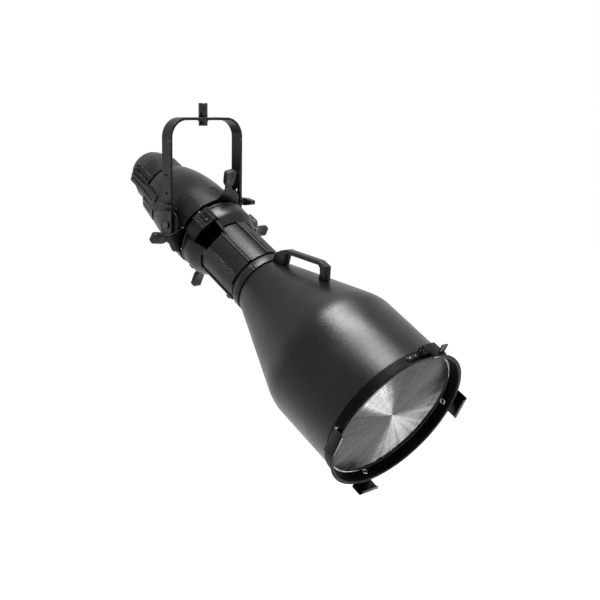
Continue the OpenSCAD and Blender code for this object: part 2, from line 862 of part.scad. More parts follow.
module barrel() {
  bore_r = tube_r + fit;
  rib_back = cone_front + seat;
  rib_len = barrel_front - 1 - rib_back;
  rib_z = rib_back + rib_len / 2;
  color(black) lamp() difference() {
    union() {
      ring(barrel_r, bore_r, barrel_back, barrel_front);
      for (k = [0:3]) around(rib_phase + 90 * k)
        plate(wide_rib, rib_h + 4, rib_len, [0, barrel_r - 4, rib_z]);
      for (k = [0:3]) around(rib_phase - 45 + 90 * k)
        plate(narrow_rib, rib_h + 3, rib_len, [0, barrel_r - 3, rib_z]);
    }
    translate([0, 0, barrel_back - cut]) cylinder(r = bore_r, h = barrel_front);
    sector(2 * barrel_r, barrel_r - 20, barrel_back - cut, slot_front, slot_from, slot_to);
    around(slot_to) plate(5, 30, fence_front - barrel_back + 1, [0, barrel_r, barrel_back + 18]);
    around(rib_phase) plate(4, 20, groove_to - groove_from, [-3, barrel_r - 1,
      (groove_to + groove_from) / 2]);
    around(focus_angle) for (z = [focus_back, focus_out]) translate([0, bore_r - 2, focus_z + z])
      outward() cylinder(r = stud_r + seat, h = 20);
    around(focus_angle) plate(2 * (stud_r + seat), 20, focus_out - focus_back,
      [0, bore_r - 2, focus_z + (focus_out + focus_back) / 2]);
    around(rib_phase - 90) translate([6, barrel_r - 1, 199]) outward() cylinder(r = 2.6, h = 20);
    for (k = [0:3]) around(rib_phase - 45 + 90 * k)
      plate(2.4, 10, 2 * barrel_front, [0, barrel_r + rib_h - 1.2, 0]);
  }
}

// Clamps the barrel's turn, under the housing's collar
module turn_lock_knob() {
  tip = turn_bore - 4;
  color(black) lamp() around(180) translate([0, 0, lock_z]) outward() {
    translate([0, 0, tip]) cylinder(r = lock_r, h = housing_r - tip + 1);
    translate([0, 0, housing_r + seat]) cylinder(r = 8, h = 8);
    translate([0, 0, housing_r + 8]) lobed_knob(12, 12, 6);
  }
}

/* Lens tube, bell and front */

tube_back = 130;

module lens_tube() {
  wall = 2;
  color(black) lamp() difference() {
    ring(tube_r, tube_r - wall, tube_back, bell_back - 2);
    around(focus_angle) translate([0, tube_r - 10, focus_z]) outward()
      cylinder(r = stud_r + fit, h = 20);
  }
}

module focus_knob() {
  top = barrel_r + rib_h + seat;
  color(black) lamp() around(focus_angle) translate([0, 0, focus_z]) outward() {
    translate([0, 0, tube_r - 1.8]) cylinder(r = stud_r, h = top - tube_r + 3);
    translate([0, 0, top]) cylinder(r = 6.5, h = 5);
    translate([0, 0, top + 4]) lobed_knob(9, 10, 6);
  }
}

module neck_ring() {
  color(black) lamp() difference() {
    rotate_extrude($fn = fine) polygon([[tube_r + fit, neck_back], [neck_r - 1, neck_back],
      [neck_r, neck_back + 1], [neck_r, bell_back - 0.6], [neck_r - 0.8, bell_back],
      [tube_r + fit, bell_back]]);
    neck_screw_places() translate([0, 0, -12]) cylinder(r = 1.55, h = 20);
  }
}

module neck_screw_places() {
  for (k = [0:5]) around(60 * k - 46) translate([0, neck_r, bell_back - 10]) outward() children();
}

module neck_screws() {
  color(dark) lamp() neck_screw_places() {
    translate([0, 0, fit]) screw_head(2.8, 1.6);
    translate([0, 0, -6]) cylinder(r = 1.5, h = 7);
  }
}

cone_end = 470;
round_end = 512;
shoulder_rise = 7.984;
bell_start_r = tube_r + 4;
cone_slope = (bell_r - shoulder_rise - bell_start_r) / (cone_end - bell_back);

// Outer radius of the bell at a station along the axis
function bell_at(z) = z < cone_end ? bell_start_r + cone_slope * (z - bell_back)
  : z > round_end ? bell_r
  : bell_r - shoulder_rise * pow((round_end - z) / (round_end - cone_end), 2);

// Points of the bell's rounded shoulder, drawn in by an inset
function shoulder(inset) = [for (i = [0:10])
  let (z = cone_end + (round_end - cone_end) * i / 10) [bell_at(z) - inset, z]];

lens_front = rim_front - lens_set;
lens_r = bell_r - bell_t - seat;
lens_edge = 6;
lens_bow = lens_t - lens_edge;
edge_front = lens_front - lens_bow * 0.35;

// Back surface of the lens at a radius
function lens_back_at(r) = lens_front - lens_t + lens_bow * 0.65 * pow(r / lens_r, 2);

band_out = bell_r + 2.5;
rim_joint = rim_back + 2;

module bell() {
  bead = 4;
  inner = bell_r - bell_t;
  bead_z = lens_back_at(inner - bead) - seat;
  curve = shoulder(bell_t);
  color(black) lamp() difference() {
    rotate_extrude($fn = 200) polygon(concat([[bell_start_r, bell_back + fit]], shoulder(0),
      [[bell_r, rim_joint], [inner, rim_joint], [inner, bead_z], [inner - bead, bead_z],
      [inner - bead, bead_z - 1.5], [inner, bead_z - 5]],
      [for (i = [len(curve) - 1:-1:0]) curve[i]],
      [[bell_at(bell_back + 6) - bell_t, bell_back + 6], [tube_r - 2, bell_back + 6],
        [tube_r - 2, bell_back + fit]]));
    handle_screw_places() cylinder(r = 2 + fit, h = 30, center = true);
  }
}

// Point of a handle's foot on the bell, as [station, height]
function foot(z) = [z, bell_at(z) + seat];

// Point of the handle beside one of its screws, in shares of the grip's height
function grip_point(z, along, above) = [z + handle_h * along, bell_at(z) + handle_h * above];

module carry_handle() {
  color(black) lamp() difference() {
    rotate([0, -90, 0]) linear_extrude(handle_w, center = true)
      polygon([foot(handle_rear - handle_h * 0.4), grip_point(handle_rear, -0.4625, 0.31),
        grip_point(handle_rear, -0.3875, 0.447), grip_point(handle_rear, -0.1125, 0.76),
        grip_point(handle_rear, 0.175, 0.997), grip_point(handle_fore, -0.65, 0.76),
        grip_point(handle_fore, -0.1, 0.76), grip_point(handle_fore, 0.175, 0.16),
        foot(handle_fore + handle_h * 0.2), foot(handle_fore - handle_h * 0.2),
        grip_point(handle_fore, -0.275, 0.26), grip_point(handle_fore, -0.425, 0.4975),
        grip_point(handle_fore, -0.575, 0.56), grip_point(handle_rear, 0.3, 0.81),
        foot(handle_rear + handle_h * 0.4125)]);
    handle_screw_places() cylinder(r = 2 + fit, h = 20, center = true);
  }
}

module handle_screw_places() {
  for (z = [handle_rear, handle_fore]) translate([0, bell_at(z), z]) outward() children();
}

module handle_screws() {
  color(dark) lamp() handle_screw_places() {
    translate([0, 0, -bell_t - 4]) cylinder(r = 2, h = 12);
    translate([0, 0, -bell_t - 4.5]) cylinder(r = 3.6, h = 2);
  }
}

module front_rim() {
  lip = 1.5;
  inner = bell_r - bell_t;
  flare = rim_front - 8;
  color(black) lamp() difference() {
    rotate_extrude($fn = 200) polygon([[bell_r + fit, rim_back], [band_out, rim_back],
      [band_out, flare], [rim_r, rim_front - 2.5], [rim_r, rim_front - 1], [rim_r - 1, rim_front],
      [inner + 4, rim_front], [inner + 3, rim_front - 1.5], [inner + lip, rim_front - 6],
      [inner + lip, rim_joint + seat], [bell_r + fit, rim_joint + seat]]);
    for (angle = [-90, 90, 180]) around(angle) translate([0, inner - 5, clip_z]) outward()
      cylinder(r = clip_bolt_r + fit, h = 30);
    rivet_places() cylinder(r = 1.5 + fit, h = 30, center = true);
  }
}

module lens() {
  rings = 12;
  front = [for (i = [0:rings]) let (t = i / rings)
    [lens_r * t, lens_front - lens_bow * 0.35 * t * t]];
  back = [for (i = [rings:-1:0]) let (t = i / rings)
    [lens_r * t, lens_back_at(lens_r * t)]];
  color("#dfe6ea", 0.7) lamp() rotate_extrude($fn = fine) polygon(concat(front, back));
}

module lens_ring() {
  color(dark) lamp() ring(lens_r + 1, lens_r - 4, edge_front + seat, edge_front + seat + 2.5);
}

/* Colour frame clips and latch */

channel_r = frame_w / 2 + 1.5;
web_back = rim_front - 10;
lip_front = rim_front + channel_d + sheet_t;
lip_in = 7;
clip_z = web_back - 6;
clip_bolt_r = 2.5;

// Channel of folded sheet, for the side of the rim at an angle
module frame_clip(angle) {
  foot_r = band_out + seat;
  tab_back = rim_back + 4;
  color(black) lamp() around(angle) difference() {
    union() {
      plate(clip_len * 0.5, sheet_t, web_back - tab_back + sheet_t,
        [0, foot_r, (web_back + sheet_t + tab_back) / 2]);
      plate(clip_len * 0.7, channel_r - foot_r + sheet_t, sheet_t,
        [0, foot_r, web_back + sheet_t / 2]);
      plate(clip_len, channel_r - rim_r, sheet_t, [0, rim_r + sheet_t, web_back + sheet_t / 2]);
      plate(clip_len, sheet_t, lip_front - web_back, [0, channel_r, (lip_front + web_back) / 2]);
      plate(clip_len - 10, lip_in + sheet_t, sheet_t,
        [0, channel_r - lip_in, lip_front - sheet_t / 2]);
    }
    translate([0, foot_r - 5, clip_z]) outward() cylinder(r = clip_bolt_r + fit, h = 10);
  }
}

module clip_bolts() {
  inner = bell_r - bell_t + 1.2;
  nut_h = 2.5;
  grasp = band_out + sheet_t + 2 - inner;
  color(dark) lamp() for (angle = [-90, 90, 180]) around(angle) translate([0, 0, clip_z])
    outward() {
      translate([0, 0, band_out + seat + sheet_t + fit]) screw_head(4.5, 2);
      translate([0, 0, inner - nut_h]) cylinder(r = clip_bolt_r, h = grasp + nut_h);
      translate([0, 0, inner - nut_h]) cylinder(r = 5.4, h = nut_h);
    }
}

latch_w = 34;
pin_z = rim_front - 16;
pin_h = band_out + 12;
pin_r = 2;
bracket_t = 2;

module rivet_places() {
  for (angle = [-14, -9.4]) around(angle) translate([0, band_out, pin_z]) outward() children();
}

// Two ears on a foot that is riveted to the rim
module latch_bracket() {
  foot_r = band_out + seat;
  ear_x = latch_w / 2 + bracket_t / 2 + seat;
  color(black) lamp() difference() {
    union() {
      intersection() {
        ring(foot_r + bracket_t, foot_r, pin_z - 7, pin_z + 6);
        translate([-46, 0, 0]) cube([46 + ear_x + bracket_t / 2, 2 * rim_r, 2 * rim_front]);
      }
      for (side = [-1, 1]) plate(bracket_t, pin_h - foot_r + 5.5, 12,
        [side * ear_x, foot_r - 0.6, pin_z]);
    }
    translate([-latch_w, pin_h, pin_z]) rotate([0, 90, 0]) cylinder(r = pin_r + fit, h = 2 * latch_w);
    rivet_places() cylinder(r = 1.5 + fit, h = 20, center = true);
  }
}

module latch_pin() {
  length = latch_w + 8;
  color(dark) lamp() {
    translate([-length / 2, pin_h, pin_z]) rotate([0, 90, 0]) cylinder(r = pin_r, h = length);
    rivet_places() {
      translate([0, 0, -3]) cylinder(r = 1.5, h = 6);
      translate([0, 0, seat + bracket_t + 0.15]) cylinder(r = 2.8, h = 1.4);
    }
  }
}

module retainer_latch() {
  arm_z = lip_front - 6;
  color(black) lamp() difference() {
    union() {
      translate([-latch_w / 2, pin_h, pin_z]) rotate([0, 90, 0]) cylinder(r = 4.5, h = latch_w);
      plate(latch_w, channel_r - pin_h + sheet_t, 7, [0, pin_h, pin_z]);
      plate(latch_w, sheet_t, lip_front - pin_z, [0, channel_r, (lip_front + pin_z) / 2]);
      plate(latch_w, lip_in + sheet_t, sheet_t, [0, channel_r - lip_in, lip_front - sheet_t / 2]);
      plate(latch_w * 0.5, 20, 2.5, [latch_w * 0.2, channel_r, arm_z]);
    }
    translate([-latch_w, pin_h, pin_z]) rotate([0, 90, 0]) cylinder(r = pin_r + fit, h = 2 * latch_w);
  }
}

mounting_stem();
yoke_bolt();
yoke_washer();
yoke();
yoke_arms();
clutch_plates();
clutch_handle(-1);  // clutch_handle_left
clutch_handle(1);  // clutch_handle_right
brake_disc(-1);  // brake_disc_left
brake_disc(1);  // brake_disc_right
pivot_bolts();
reflector_housing();
collar_screws();
reflector();
reflector_ring();
rear_shroud();
side_fins(-1);  // side_fins_left
side_fins(1);  // side_fins_right
burner_cap();
lamp_socket();
lamp_base();
lamp_envelope();
lamp_filament();
cable_gland();
gland_nut();
cap_screw();
centring_knob();
peak_knob();
gate_rear_plate();
gate_front_plate();
gate_posts();
blade(top_shutter);  // shutter_top
blade(bottom_shutter);  // shutter_bottom
blade(left_shutter);  // shutter_left
blade(right_shutter);  // shutter_right
grip(top_shutter);  // grip_top
grip(bottom_shutter);  // grip_bottom
grip(left_shutter);  // grip_left
grip(right_shutter);  // grip_right
shutter_drum();
pattern_slot_cover();
barrel();
turn_lock_knob();
lens_tube();
focus_knob();
neck_ring();
neck_screws();
bell();
carry_handle();
handle_screws();
front_rim();
lens();
lens_ring();
frame_clip(-90);  // frame_clip_left
frame_clip(180);  // frame_clip_bottom
frame_clip(90);  // frame_clip_right
clip_bolts();
latch_bracket();
latch_pin();
retainer_latch();
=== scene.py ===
"""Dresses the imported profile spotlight, adds its fine details and lights it in a studio.

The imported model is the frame: it is never moved. Sizes are in millimetres in the lamp's own
axes (x sideways, u up, s forward along the light) unless a docstring says metres.
"""
import logging
import math
from dataclasses import dataclass
from enum import Enum
from typing import Callable, Iterable, Sequence

import bmesh
import bpy
from mathutils import Matrix, Vector


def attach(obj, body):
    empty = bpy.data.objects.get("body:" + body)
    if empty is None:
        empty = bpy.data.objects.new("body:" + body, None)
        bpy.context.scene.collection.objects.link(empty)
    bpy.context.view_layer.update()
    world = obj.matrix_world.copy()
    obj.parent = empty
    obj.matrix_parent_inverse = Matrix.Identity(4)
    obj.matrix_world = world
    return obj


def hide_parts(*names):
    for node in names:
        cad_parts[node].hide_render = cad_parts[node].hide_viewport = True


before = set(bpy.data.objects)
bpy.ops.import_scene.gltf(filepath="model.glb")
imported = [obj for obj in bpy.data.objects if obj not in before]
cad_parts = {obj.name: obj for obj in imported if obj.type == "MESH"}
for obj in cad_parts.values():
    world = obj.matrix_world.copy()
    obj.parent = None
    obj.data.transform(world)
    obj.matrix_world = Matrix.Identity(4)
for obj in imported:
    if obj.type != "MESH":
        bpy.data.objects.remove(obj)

log = logging.getLogger("spotlight")
MM = 0.001
SEAM = 1e-6
SQUARE = 0.9
Triple = tuple[float, float, float]
Colour = Triple
Outline = Sequence[tuple[float, float]]
Node = bpy.types.Node
Piece = bpy.types.Object


class Slot(Enum):
    """Material slots that the finishes fill."""

    SHEET = "black_sheet"
    CASTING = "black_casting"
    SCREW = "black_steel"
    PLASTIC = "black_plastic"
    STEEL = "bright_steel"
    MIRROR = "mirror_dish"
    CERAMIC = "ceramic"
    GLASS = "clear_glass"
    TUNGSTEN = "tungsten"


class Body(Enum):
    """Bodies of the frame that new pieces ride on."""

    BARREL = "barrel"
    TURN_LOCK = "turn_lock"
    FOCUS_LOCK = "focus_lock"
    FOCUS = "focus"
    LATCH = "latch"
    TOP_SHUTTER = "top_shutter"
    LEFT_SHUTTER = "left_shutter"
    RIGHT_SHUTTER = "right_shutter"
    BOTTOM_SHUTTER = "bottom_shutter"


@dataclass(frozen=True)
class LampAxes:
    """Where the lamp lies at rest in the yoke.

    Attributes:
        pivot_drop: How far the tilt axis hangs below the origin.
        axis_drop: How far the optical axis lies below the tilt axis.
        tilt: Degrees that the light points down.
    """

    pivot_drop: float = 240.0
    axis_drop: float = 3.0
    tilt: float = 27.5

    def matrix(self) -> Matrix:
        """Turns lamp axes in metres into the frame's axes.

        Returns:
            The matrix that places a piece modelled about the optical axis.
        """
        turn = Matrix.Rotation(math.radians(90 + self.tilt), 4, "X")
        seat = Matrix.Translation((0, 0, -self.pivot_drop * MM))
        return seat @ turn @ Matrix.Translation((0, -self.axis_drop * MM, 0))

    def at(self, x: float, u: float, s: float) -> Matrix:
        """Place with the lamp's own directions at a point of the lamp."""
        return self.matrix() @ Matrix.Translation((x * MM, u * MM, s * MM))

    def out(self, angle: float, radius: float, s: float) -> Matrix:
        """Place on a round about the optical axis.

        Args:
            angle: Degrees from the lamp's top towards +X.
            radius: Distance from the optical axis.
            s: Station along the light.

        Returns:
            A matrix whose z points out of the axis, x sideways and y rearward.
        """
        around = Matrix.Rotation(math.radians(-angle), 4, "Z")
        lay = Matrix.Rotation(math.radians(-90), 4, "X")
        lift = Matrix.Translation((0, 0, radius * MM))
        return self.at(0, 0, s) @ around @ lay @ lift


AXES = LampAxes()


def faces_up(normal: Vector) -> bool:
    """Tells whether a face looks up, about squarely."""
    return normal.z > SQUARE


class Bench:
    """Modelling bench: one active piece at a time, shaped by operators."""

    crease: float = math.radians(30)

    @staticmethod
    def clear() -> None:
        """Leaves edit mode and deselects everything."""
        if bpy.context.mode != "OBJECT":
            bpy.ops.object.mode_set(mode="OBJECT")
        bpy.ops.object.select_all(action="DESELECT")

    @classmethod
    def take(cls, piece: Piece) -> None:
        """Makes a piece the only selected and the active one."""
        cls.clear()
        piece.select_set(True)
        bpy.context.view_layer.objects.active = piece

    @staticmethod
    def _named(name: str) -> Piece:
        """Names the new primitive and applies its place."""
        piece = bpy.context.object
        piece.name = name
        bpy.ops.object.transform_apply(location=True, rotation=True, scale=True)
        return piece

    @classmethod
    def round_bar(cls, name: str, radius: float, length: float, sides: int) -> Piece:
        """Adds an upright round or faceted bar that stands on z = 0."""
        cls.clear()
        bpy.ops.mesh.primitive_cylinder_add(vertices=sides, radius=radius * MM,
                                            depth=length * MM, location=(0, 0, length * MM / 2))
        return cls._named(name)

    @classmethod
    def block(cls, name: str, x: float, y: float, z: float) -> Piece:
        """Adds a block centred on x and y that stands on z = 0."""
        cls.clear()
        bpy.ops.mesh.primitive_cube_add(size=1, location=(0, 0, z * MM / 2))
        bpy.context.object.scale = (x * MM, y * MM, z * MM)
        return cls._named(name)

    @classmethod
    def lathe(cls, name: str, outline: Outline, steps: int, closed: bool = True) -> Piece:
        """Spins an outline once round the z axis.

        Args:
            name: Name of the piece.
            outline: Points (radius, height) in order.
            steps: Steps of the full turn.
            closed: Joins the last point to the first.

        Returns:
            The spun piece, with merged seams and its faces turned outwards.
        """
        cls.clear()
        bpy.ops.mesh.primitive_plane_add(size=MM)
        piece = cls._named(name)
        bpy.ops.object.mode_set(mode="EDIT")
        bpy.ops.mesh.select_mode(type="VERT")
        bpy.ops.mesh.select_all(action="SELECT")
        bpy.ops.mesh.merge(type="CENTER")
        bpy.ops.mesh.select_all(action="SELECT")
        bpy.ops.transform.translate(value=(outline[0][0] * MM, 0, outline[0][1] * MM))
        for (r0, z0), (r1, z1) in zip(outline, outline[1:]):
            step = ((r1 - r0) * MM, 0, (z1 - z0) * MM)
            bpy.ops.mesh.extrude_vertices_move(TRANSFORM_OT_translate={"value": step})
        if closed:
            shape = bmesh.from_edit_mesh(piece.data)
            for vert in shape.verts:
                vert.select_set(len(vert.link_edges) < 2)
            bmesh.update_edit_mesh(piece.data)
            bpy.ops.mesh.edge_face_add()
        bpy.ops.mesh.select_all(action="SELECT")
        bpy.ops.mesh.spin(steps=steps, angle=math.tau, center=(0, 0, 0), axis=(0, 0, 1))
        bpy.ops.mesh.select_all(action="SELECT")
        bpy.ops.mesh.remove_doubles(threshold=SEAM)
        bpy.ops.mesh.normals_make_consistent(inside=False)
        bpy.ops.object.mode_set(mode="OBJECT")
        return piece

    @classmethod
    def pick(cls, piece: Piece, test: Callable[[Vector], bool]) -> None:
        """Selects faces in edit mode.

        Args:
            piece: The piece being shaped.
            test: Says by a face's normal whether the face is picked.
        """
        cls.take(piece)
        bpy.ops.object.mode_set(mode="EDIT")
        bpy.ops.mesh.select_mode(type="FACE")
        bpy.ops.mesh.select_all(action="DESELECT")
        shape = bmesh.from_edit_mesh(piece.data)
        for face in shape.faces:
            face.select_set(test(face.normal))
        bmesh.update_edit_mesh(piece.data)

    @staticmethod
    def inset(width: float, depth: float = 0.0) -> None:
        """Insets the picked faces, and sinks or lifts them."""
        bpy.ops.mesh.inset(thickness=width * MM, depth=depth * MM)

    @staticmethod
    def draw_out(x: float, y: float, z: float) -> None:
        """Extrudes the picked faces along a direction."""
        move = {"value": (x * MM, y * MM, z * MM)}
        bpy.ops.mesh.extrude_region_move(TRANSFORM_OT_translate=move)

    @staticmethod
    def shrink(x: float, y: float, z: float, about: Triple = (0, 0, 0)) -> None:
        """Scales what is picked about a point in millimetres."""
        centre = tuple(value * MM for value in about)
        bpy.ops.transform.resize(value=(x, y, z), center_override=centre)

    @classmethod
    def ease(cls, piece: Piece, width: float, segments: int = 2) -> Piece:
        """Rounds all sharp edges with an applied bevel."""
        cls.take(piece)
        rounding = piece.modifiers.new("rounding", "BEVEL")
        rounding.width = width * MM
        rounding.segments = segments
        rounding.limit_method = "ANGLE"
        rounding.angle_limit = cls.crease
        bpy.ops.object.modifier_apply(modifier="rounding")
        return piece

    @staticmethod
    def copy(piece: Piece, name: str) -> Piece:
        """Copies a piece together with its mesh."""
        twin = piece.copy()
        twin.data = piece.data.copy()
        twin.name = name
        bpy.context.scene.collection.objects.link(twin)
        return twin

    @classmethod
    def place(cls, piece: Piece, matrix: Matrix) -> Piece:
        """Moves a piece to its place and leaves the place in its mesh."""
        cls.take(piece)
        piece.matrix_world = matrix
        bpy.ops.object.transform_apply(location=True, rotation=True, scale=True)
        return piece

    @classmethod
    def join(cls, name: str, pieces: Sequence[Piece]) -> Piece:
        """Joins pieces into one object."""
        cls.clear()
        for piece in pieces:
            piece.select_set(True)
        bpy.context.view_layer.objects.active = pieces[0]
        if len(pieces) > 1:
            bpy.ops.object.join()
        pieces[0].name = name
        return pieces[0]

    @classmethod
    def spread(cls, name: str, pattern: Piece, places: Iterable[Matrix]) -> Piece:
        """Copies a pattern to each place, and joins the copies into one piece.

        Args:
            name: Name of the joined piece.
            pattern: The piece modelled once; it is removed.
            places: Matrices of the places.

        Returns:
            The joined piece.
        """
        cls.clear()
        made = [cls.place(cls.copy(pattern, f"{name}_{i}"), m) for i, m in enumerate(places)]
        bpy.data.objects.remove(pattern)
        return cls.join(name, made)

    @classmethod
    def deliver(cls, piece: Piece, body: Body, finish: "Finish", smooth: float = 35) -> None:
        """Shades a finished piece, gives it its finish and sets it on its body."""
        cls.take(piece)
        bpy.ops.object.shade_smooth_by_angle(angle=math.radians(smooth))
        piece.data.materials.clear()
        piece.data.materials.append(finish.material())
        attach(piece, body.value)
        log.info("piece %s on %s, %d faces", piece.name, body.value, len(piece.data.polygons))


def shade(colour: Colour, factor: float) -> Colour:
    """A lighter or darker shade of a colour."""
    return tuple(value * factor for value in colour)


class Board:
    """Board on which one material's nodes are wired."""

    flat_cosine: float = 0.995
    sharp_cosine: float = 0.86

    def __init__(self, name: str) -> None:
        """Starts an empty material."""
        self.material = bpy.data.materials.new(name)
        self.material.use_nodes = True
        self.tree = self.material.node_tree
        self.tree.nodes.clear()
        self.output = self.tree.nodes.new("ShaderNodeOutputMaterial")

    def add(self, kind: str, values: dict | None = None, **settings: object) -> Node:
        """Adds a node.

        Args:
            kind: Node type without its ShaderNode prefix.
            values: Constants for sockets, by name or number.
            **settings: The node's own settings.

        Returns:
            The node.
        """
        node = self.tree.nodes.new("ShaderNode" + kind)
        for key, value in settings.items():
            setattr(node, key, value)
        for key, value in (values or {}).items():
            node.inputs[key].default_value = value
        return node

    def wire(self, source: Node, out: str | int, target: Node, into: str | int) -> None:
        """Joins an output to an input."""
        self.tree.links.new(source.outputs[out], target.inputs[into])

    def places(self, lamp: bool) -> Node:
        """Object coordinates, turned into the lamp's axes if asked."""
        coords = self.add("TexCoord")
        turn = self.add("Mapping")
        self.wire(coords, "Object", turn, "Vector")
        if lamp:
            back = AXES.matrix().inverted()
            turn.inputs["Location"].default_value = back.to_translation()
            turn.inputs["Rotation"].default_value = back.to_euler()
        return turn

    def noise(self, where: Node, scale: float, detail: float,
              stretch: Triple = (1, 1, 1), rough: float = 0.55) -> Node:
        """Noise of a scale per metre, stretched along the axes if asked."""
        texture = self.add("TexNoise", {"Scale": scale, "Detail": detail, "Roughness": rough})
        if stretch != (1, 1, 1):
            squeeze = self.add("Mapping", {"Scale": stretch})
            self.wire(where, 0, squeeze, "Vector")
            where = squeeze
        self.wire(where, 0, texture, "Vector")
        return texture

    def ramp(self, source: Node, out: str | int, low: float, high: float,
             to_low: float = 0.0, to_high: float = 1.0) -> Node:
        """Maps a value's range smoothly to another."""
        node = self.add("MapRange", {"From Min": low, "From Max": high, "To Min": to_low,
                                     "To Max": to_high}, interpolation_type="SMOOTHSTEP")
        self.wire(source, out, node, "Value")
        return node

    def times(self, a: Node, b: Node | float, out: int = 0) -> Node:
        """Product of one value and another value or a constant."""
        node = self.add("Math", operation="MULTIPLY")
        self.wire(a, out, node, 0)
        if isinstance(b, float):
            node.inputs[1].default_value = b
        else:
            self.wire(b, 0, node, 1)
        return node

    def blend(self, factor: Node, a: Colour | Node, b: Colour | Node) -> Node:
        """Mixes two colours by a value."""
        node = self.add("MixRGB")
        self.wire(factor, 0, node, "Fac")
        for place, value in ((1, a), (2, b)):
            if isinstance(value, tuple):
                node.inputs[place].default_value = (*value, 1)
            else:
                self.wire(value, 0, node, place)
        return node

    def edges(self, radius: float) -> tuple[Node, Node]:
        """Rounded normal and a value that is 1 on sharp edges.

        Args:
            radius: Reach of the rounding.

        Returns:
            The rounding node and the edge value's node.
        """
        rounded = self.add("Bevel", {"Radius": radius * MM}, samples=4)
        geometry = self.add("NewGeometry")
        dot = self.add("VectorMath", operation="DOT_PRODUCT")
        self.wire(rounded, 0, dot, 0)
        self.wire(geometry, "Normal", dot, 1)
        near = self.add("MapRange", {"From Min": self.flat_cosine, "From Max": self.sharp_cosine})
        self.wire(dot, "Value", near, "Value")
        return rounded, near

    def bump(self, heights: Sequence[tuple[Node, float]],
             normal: Node | None = None) -> Node:
        """Chains bumps.

        Args:
            heights: Pairs of a height's node and its depth in millimetres.
            normal: Node whose normal the chain starts from.

        Returns:
            The last bump node.
        """
        last = normal
        for height, depth in heights:
            node = self.add("Bump", {"Strength": 1.0, "Distance": depth * MM})
            self.wire(height, 0, node, "Height")
            if last is not None:
                self.wire(last, 0, node, "Normal")
            last = node
        return last

    def coat(self, values: dict, **sources: Node) -> Node:
        """Adds the main shader.

        Args:
            values: Constants for its sockets.
            **sources: Nodes of its Base Color, Roughness and Normal, named colour, gloss, normal.

        Returns:
            The shader's node.
        """
        shader = self.add("BsdfPrincipled", values)
        sockets = {"colour": "Base Color", "gloss": "Roughness", "normal": "Normal"}
        for name, source in sources.items():
            self.wire(source, 0, shader, sockets[name])
        return shader

    def finish(self, shader: Node) -> bpy.types.Material:
        """Wires the last shader to the output."""
        self.wire(shader, 0, self.output, "Surface")
        return self.material


@dataclass(frozen=True)
class Finish:
    """Base of all finishes: a name and a material slot."""

    name: str
    slot: Slot

    def material(self) -> bpy.types.Material:
        """The finish's material, made on first use."""
        return bpy.data.materials.get(self.name) or self.make(Board(self.name))

    def make(self, board: Board) -> bpy.types.Material:
        """Wires the material; each kind of finish has its own way."""
        raise NotImplementedError


@dataclass(frozen=True)
class Paint(Finish):
    """Black stove paint on sheet or casting, with grain, dust, and edges lightened partly as bare
    metal and partly as a painted highlight.

    Attributes:
        rough, sheen: Roughness and specular level.
        grain, cloud, scuff, speck: Scales per metre of the noises.
        grain_depth, streaks: Depths of the grain and of spinning lines.
        edge, wear: Reach of the pale edges, and how strongly they are lightened as bare metal and
            as painted highlight.
        dusted: Strength of the dust.
        deep, pale: Shades of the colour between which it varies.
    """

    colour: Colour = (0.0020, 0.0020, 0.0022)
    # Pale edge colour: bare metal where the paint is rubbed off, and a painted highlight along the
    # edges.
    worn_and_highlight: Colour = (0.30, 0.30, 0.31)
    dust: Colour = (0.20, 0.19, 0.18)
    rough: float = 0.32
    sheen: float = 0.20
    grain: float = 900.0
    cloud: float = 14.0
    scuff: float = 60.0
    speck: float = 420.0
    grain_depth: float = 0.035
    streaks: float = 0.0
    edge: float = 0.7
    wear_and_highlight: float = 0.5
    dusted: float = 0.10
    deep: float = 0.72
    pale: float = 1.35

    def make(self, board: Board) -> bpy.types.Material:
        """Wires paint whose tone, gloss and relief vary as sprayed paint does, with edges
        lightened as bare metal and as painted highlight.
        """
        where = board.places(lamp=True)
        cloud = board.noise(where, self.cloud, 5)
        grain = board.noise(where, self.grain, 2)
        scuffs = board.noise(where, self.scuff, 6, (1, 1, 0.25))
        specks = board.noise(where, self.speck, 1)
        rounded, near = board.edges(self.edge)
        patchy = board.ramp(scuffs, "Fac", 0.40, 0.62)
        # Edge mask, broken into patches: scuffed bare metal, and also a painted highlight along
        # the sharp edges.
        worn_and_highlight = board.times(board.times(near, patchy), self.wear_and_highlight)
        tone = board.ramp(cloud, "Fac", 0.3, 0.7)
        base = board.blend(tone, shade(self.colour, self.deep), shade(self.colour, self.pale))
        dust = board.times(board.ramp(specks, "Fac", 0.70, 0.78), self.dusted)
        dusty = board.blend(dust, base, self.dust)
        colour = board.blend(worn_and_highlight, dusty, self.worn_and_highlight)
        gloss = board.ramp(cloud, "Fac", 0.25, 0.75, self.rough - 0.05, self.rough + 0.06)
        heights = [(board.ramp(grain, "Fac", 0.2, 0.8), self.grain_depth)]
        if self.streaks:
            heights.insert(0, (self._turned(board, where), self.streaks))
        values = {"Metallic": 0.0, "Specular IOR Level": self.sheen, "IOR": 1.45}
        return board.finish(board.coat(values, colour=colour, gloss=gloss,
                                       normal=board.bump(heights, rounded)))

    @staticmethod
    def _turned(board: Board, where: Node) -> Node:
        """Fine lines round the axis, as spinning leaves in sheet."""
        return board.noise(where, 44, 4, (0.25, 0.25, 9.0), 0.72)


